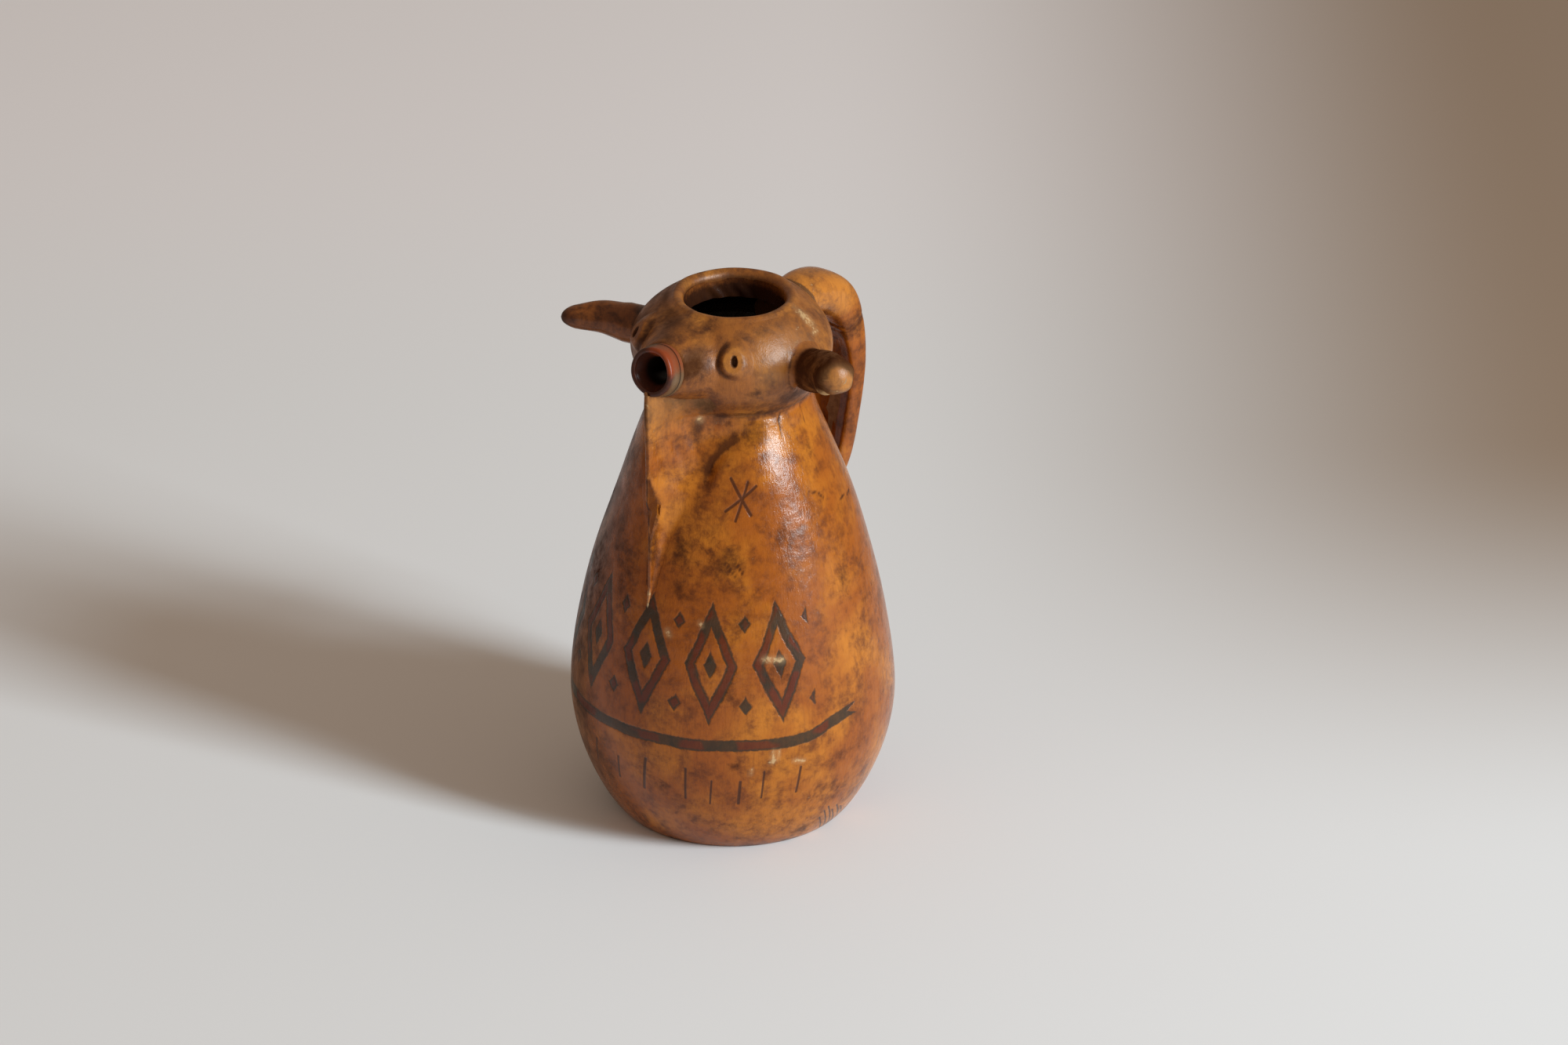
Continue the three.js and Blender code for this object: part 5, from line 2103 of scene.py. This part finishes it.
    def build(self, finishes: Finishes) -> None:
        """Make the fold and the welt."""
        bm = wrapped(self.columns, self.rows, self.place)
        moved = places_of(bm)
        masks = WEAR_AND_LIGHT.masks(moved)
        height = moved[:, 2]
        back = self.front + moved[:, 1]
        edge = (1 - smooth(back, 0.2, 1.4)) * smooth(height, 150.0, 160.0)
        # Painted shade where the two skins part and in the notch below.
        opening = self.recess(moved, moved[:, 0]) / self.parting
        notch = 1.8 * bell(height, self.notch_height, 7.5) * (1 - smooth(back, 5.0, 9.5))
        low = 1 - smooth(height, 166.0, 176.0)
        sides = 0.75 * low * smooth(back, 1.2, 2.4) * (1 - smooth(back, 5.0, 9.0))
        chin = smooth(height, 206.0, 238.0)
        # The bare lower edge: pale, partly painted highlight along the ridge.
        bare_edge = low * (1 - smooth(back, 0.9, 1.7))
        flank = smooth(back, 2.0, 5.0) * (1 - smooth(back, 18.0, 26.0)) * (moved[:, 0] > 1.0)
        more = {
            Mask.STAIN: (0.45 * edge, 1.1 * opening, notch, sides, 0.26 * chin),
            Mask.WASH_AND_SHADE: (0.6 * chin,),
            Mask.PALE: (1.1 * bare_edge, 0.28 * chin),
            Mask.WORN_AND_LIT: (0.3 * flank * smooth(height, 180.0, 195.0),),
        }
        for mask, parts in more.items():
            masks[mask] = np.maximum.reduce([masks[mask], *parts])
        finished("dewlap_shown", bm, finishes.body, ["dewlap"], masks)
        self.build_welt(finishes)

    def build_welt(self, finishes: Finishes) -> None:
        """Make the two sewn edges that stand up below the fold."""

        def place(around: Values, along: Values) -> Values:
            """Return the welt's places."""
            height = self.welt_bottom + (self.welt_top + 6.0 - self.welt_bottom) * along
            fade = np.sqrt(np.clip(along * 1.2, 0.02, 1.0))
            turn = math.tau * around
            groove = 0.45 * bell(np.mod(np.degrees(turn), 360.0), 90.0, 16.0)
            surface = skin_radius(np.zeros(len(height)), height)
            across = 1.5 * fade * np.cos(turn)
            out = surface - 0.6 + (3.0 * fade - groove) * np.clip(np.sin(turn), -0.4, 1.0)
            return np.stack([across - 0.2, -out, height], axis=1)

        bm = wrapped(28, 60, place)
        moved = places_of(bm)
        masks = WEAR_AND_LIGHT.masks(moved)
        # Pale all over: partly painted highlight along the sewn ridge.
        masks[Mask.PALE] = np.full(len(moved), 0.6)
        finished("front_welt_shown", bm, finishes.body, ["front_welt"], masks)


@dataclass(frozen=True)
class Handle:
    """The broad sleeve from the back of the head down to the shoulder."""

    lift: float = 27.5
    crown_rise: float = 1.5
    reach: float = 87.8
    grip_height: float = 206.0
    foot_height: float = 144.0
    top_thickness: float = 19.6
    grip_thickness: float = 12.6
    foot_thickness: float = 11.0
    top_width: float = 22.0
    grip_width: float = 28.0
    foot_width: float = 22.0
    squareness: float = 0.62
    creases: tuple[Triple, ...] = ((0.318, 0.035, 0.7), (0.352, 0.012, 0.3), (0.9, 0.0, 0.6))
    uneven: Wave = Wave(0.25, 900.0, 90.0)
    root_squareness: float = 0.9
    step: float = 0.004
    around: int = 112
    along: int = 240
    measured: int = 200

    def line(self, share: Values) -> Values:
        """Return distances behind the axis and heights along the middle of the sleeve."""
        top = HEAD.base + self.lift
        back = float(HEAD.turned_radius(np.array([top]))[0])
        arc = self.reach - back
        foot = float(np.interp(self.foot_height, *VESSEL.outline(*VESSEL.measured_rows).T[::-1]))
        points = [
            (back - LEATHER * 5, top - self.crown_rise),
            (back + arc * 0.3, top + self.crown_rise),
            (back + arc * 0.68, top - arc * 0.12),
            (self.reach - 3, top - arc * 0.62),
            (self.reach, self.grip_height),
            (self.reach - 4.6, self.grip_height + (self.foot_height - self.grip_height) * 0.45),
            (foot + LEATHER * 4, self.foot_height + LEATHER * 4),
            (foot - LEATHER * 5, self.foot_height - LEATHER * 4),
        ]
        return spline(points, share)

    def section(self, share: Values) -> tuple[Values, Values]:
        """Return the sleeve's half width and half thickness along the handle."""
        to_grip = smooth(share, 0.25, 0.55)
        to_foot = smooth(share, 0.6, 0.95)
        thick = self.top_thickness + (self.grip_thickness - self.top_thickness) * to_grip
        thick = thick + (self.foot_thickness - thick) * to_foot + 2.6 * bell(share, 0.26, 0.13)
        width = self.top_width + (self.grip_width - self.top_width) * smooth(share, 0.0, 0.3)
        width = width + (self.foot_width - width) * to_foot + 2.0 * bell(share, 0.28, 0.1)
        return width / 2, thick / 2

    def place(self, around: Values, along: Values) -> Values:
        """Return the sleeve's places at shares of the way round and along."""
        middle = self.line(along)
        ahead = heading(self.line, along, self.step)
        outward = np.stack([-ahead[:, 1], ahead[:, 0]], axis=1)
        half_width, half_thick = self.section(along)
        turn = math.tau * around
        c = np.cos(turn)
        s = np.sin(turn)
        rounder = self.root_squareness - self.squareness
        squareness = self.root_squareness - rounder * smooth(along, 0.12, 0.4)
        u = np.sign(c) * np.abs(c) ** squareness
        v = np.sign(s) * np.abs(s) ** squareness
        strap = smooth(along, 0.28, 0.45)
        inner_side = smooth(s, 0.1, 0.7)
        hollow = strap * inner_side * (2.6 * (1 - smooth(np.abs(u), 0.35, 0.85)) + 0.9 * bell(u, 0.1, 0.05))
        bead = 0.9 * strap * bell(np.abs(u), 0.93, 0.16)
        creases = 0.0
        for at, slant, depth in self.creases:
            creases = creases + depth * bell(along, at + slant * u, 0.0065) * smooth(u, -0.9, 0.2)
        thick = half_thick + bead - creases + self.uneven.at(along, u)
        depth = v * thick
        depth = np.where(s > 0, depth - hollow, depth)
        y = middle[:, 0] - outward[:, 0] * depth
        z = middle[:, 1] - outward[:, 1] * depth
        x = u * (half_width - creases * 0.2 + bead * 0.3)
        return np.stack([x, y, z], axis=1)

    def build(self, finishes: Finishes) -> None:
        """Make the sleeve and dress its core."""
        bm = wrapped(self.around, self.along, self.place)
        moved = places_of(bm)
        gap = off_skin(moved)
        # Painted shadow on the sleeve just behind the head's crown.
        head_shadow = 1 - smooth(gap, 4.2, 7.0)
        line = self.line(np.linspace(0.0, 1.0, self.measured))
        span = np.hypot(moved[:, 1][:, None] - line[None, :, 0], moved[:, 2][:, None] - line[None, :, 1])
        nearest = span.argmin(axis=1)
        share = nearest / (self.measured - 1)
        inward = line[nearest, 0] - moved[:, 1]
        # The inner face: browner, with a little painted shade.
        facing = smooth(inward, -3.0, 1.0) * smooth(share, 0.27, 0.34)
        bulb = 1 - smooth(share, 0.24, 0.34)
        folds = sum(bell(share, at + slant * moved[:, 0] / 14.0, 0.006) for at, slant, _ in self.creases)
        folds = folds * smooth(moved[:, 0], -4.0, 6.0)
        top = 0.62 * bell(share, 0.36, 0.07)
        # Painted shade on the far side, away from the window.
        far_side = 0.7 * smooth(-moved[:, 0], 2.0, 14.0)
        grip = 0.25 * smooth(share, 0.33, 0.42)
        masks = {
            Mask.STAIN: np.maximum.reduce([1.5 * head_shadow, 0.15 * facing, top, 0.9 * folds]),
            Mask.WASH_AND_SHADE: np.maximum.reduce([far_side, 0.2 * facing, grip]),
            Mask.WORN_AND_LIT: 0.7 * bulb - 0.6 * facing,
            Mask.PALE: 0.2 * bulb,
        }
        finished("handle_shown", bm, finishes.body, ["handle_skin"], masks)
        dress_node("handle_core", finishes.raw_leather)


@dataclass(frozen=True)
class Studio:
    """The pale paper, the soft lights and the camera."""

    distance: float = 3500.0
    elevation: float = 26.0
    azimuth: float = 36.0
    aside: float = 24.97
    height: float = 148.55
    lens: float = 165.257
    sensor: float = 36.0
    floor_size: float = 16000.0
    key_distance: float = 4500.0
    key_power: float = 284.0
    key_size: Point = (850.0, 2600.0)
    key_aim: Point = (31.0, 25.0)
    key_colour: Colour = (0.80, 0.93, 0.98)
    room_colour: Colour = (1.0, 0.79, 0.60)
    room_strength: float = 0.335
    lit_height: float = 130.0
    view_end: float = 100.0

    def axes(self) -> tuple[Vector, Vector, Vector]:
        """Return the camera's right, up and back."""
        turn = math.radians(self.azimuth)
        climb = math.radians(self.elevation)
        back = Vector((math.sin(turn) * math.cos(climb), -math.cos(turn) * math.cos(climb), math.sin(climb)))
        right = Vector((math.cos(turn), math.sin(turn), 0.0))
        return right, back.cross(right), back

    def build_camera(self) -> None:
        """Place the camera at the photograph's viewing angle."""
        right, up, back = self.axes()
        target = right * self.aside + Vector((0.0, 0.0, self.height))
        eye = (target + back * self.distance) * MM
        data = bpy.data.cameras.new("camera")
        data.lens = self.lens
        data.sensor_width = self.sensor
        data.clip_end = self.view_end
        camera = bpy.data.objects.new("camera", data)
        turn = Matrix((right, up, back)).transposed().to_4x4()
        camera.matrix_world = Matrix.Translation(eye) @ turn
        bpy.context.scene.collection.objects.link(camera)
        bpy.context.scene.camera = camera

    def build_floor(self) -> None:
        """Lay the flat sheet of paper."""
        right, _, back = self.axes()
        away = Vector((-back.x, -back.y, 0.0)).normalized()
        bm = bmesh.new()
        bmesh.ops.create_grid(bm, x_segments=1, y_segments=1, size=self.floor_size / 2 * MM)
        mesh = bpy.data.meshes.new("floor")
        bm.to_mesh(mesh)
        bm.free()
        mesh.materials.append(BackdropFinish("pale_paper", right, away).build())
        floor = bpy.data.objects.new("floor", mesh)
        bpy.context.scene.collection.objects.link(floor)

    def add_light(self, name: str, aim: Point, power: float, size: Point, colour: Colour) -> None:
        """Add a soft light.

        Args:
            name: The light's name.
            aim: Its direction seen from the pitcher, as degrees towards the camera from the camera's
                right, and degrees up.
            power: Its power in watts.
            size: Its width and height.
            colour: Its colour.
        """
        right, _, back = self.axes()
        near = Vector((back.x, back.y, 0.0)).normalized()
        turn = math.radians(aim[0])
        climb = math.radians(aim[1])
        level = right * math.cos(turn) + near * math.sin(turn)
        towards = level * math.cos(climb) + Vector((0, 0, math.sin(climb)))
        data = bpy.data.lights.new(name, "AREA")
        data.shape = "RECTANGLE"
        data.size = size[0] * MM
        data.size_y = size[1] * MM
        data.energy = power
        data.color = colour
        light = bpy.data.objects.new(name, data)
        place = (Vector((0.0, 0.0, self.lit_height)) + towards * self.key_distance) * MM
        light.matrix_world = Matrix.Translation(place) @ towards.to_track_quat("Z", "Y").to_matrix().to_4x4()
        bpy.context.scene.collection.objects.link(light)

    def build_lights(self) -> None:
        """Add the window on the right and the room's own soft light."""
        self.add_light("window", self.key_aim, self.key_power, self.key_size, self.key_colour)
        world = bpy.data.worlds.new("room")
        world.use_nodes = True
        graph = Graph(world.node_tree)
        light = graph.add("ShaderNodeBackground", {"Color": self.room_colour, "Strength": self.room_strength})
        graph.add("ShaderNodeOutputWorld", {"Surface": light.outputs[0]})
        bpy.context.scene.world = world

    def build(self) -> None:
        """Make the whole studio."""
        self.build_camera()
        self.build_floor()
        self.build_lights()
        bpy.context.scene.view_settings.view_transform = "Standard"


def main() -> None:
    """Build the pitcher around its frame."""
    logging.basicConfig(level=logging.INFO, format="%(name)s: %(message)s")
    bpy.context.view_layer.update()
    Studio().build()
    finishes = Finishes.make()
    Vessel().build(finishes)
    Head().build(finishes)
    SPOUT.build(finishes)
    for side in Side:
        Eye(side).build(finishes)
    for horn in (
        Horn(Side.LEFT, 25.4, 9.6, arch=0.9, stem_radius=10.4, tip_radius=8.5, out=29.0, lump=True),
        Horn(Side.RIGHT, 21.6, 1.9, arch=1.2, stem_radius=9.8, tip_radius=4.8, out=33.8),
    ):
        horn.build(finishes)
    ThroatFold().build(finishes)
    Handle().build(finishes)


if __name__ == "__main__":
    main()
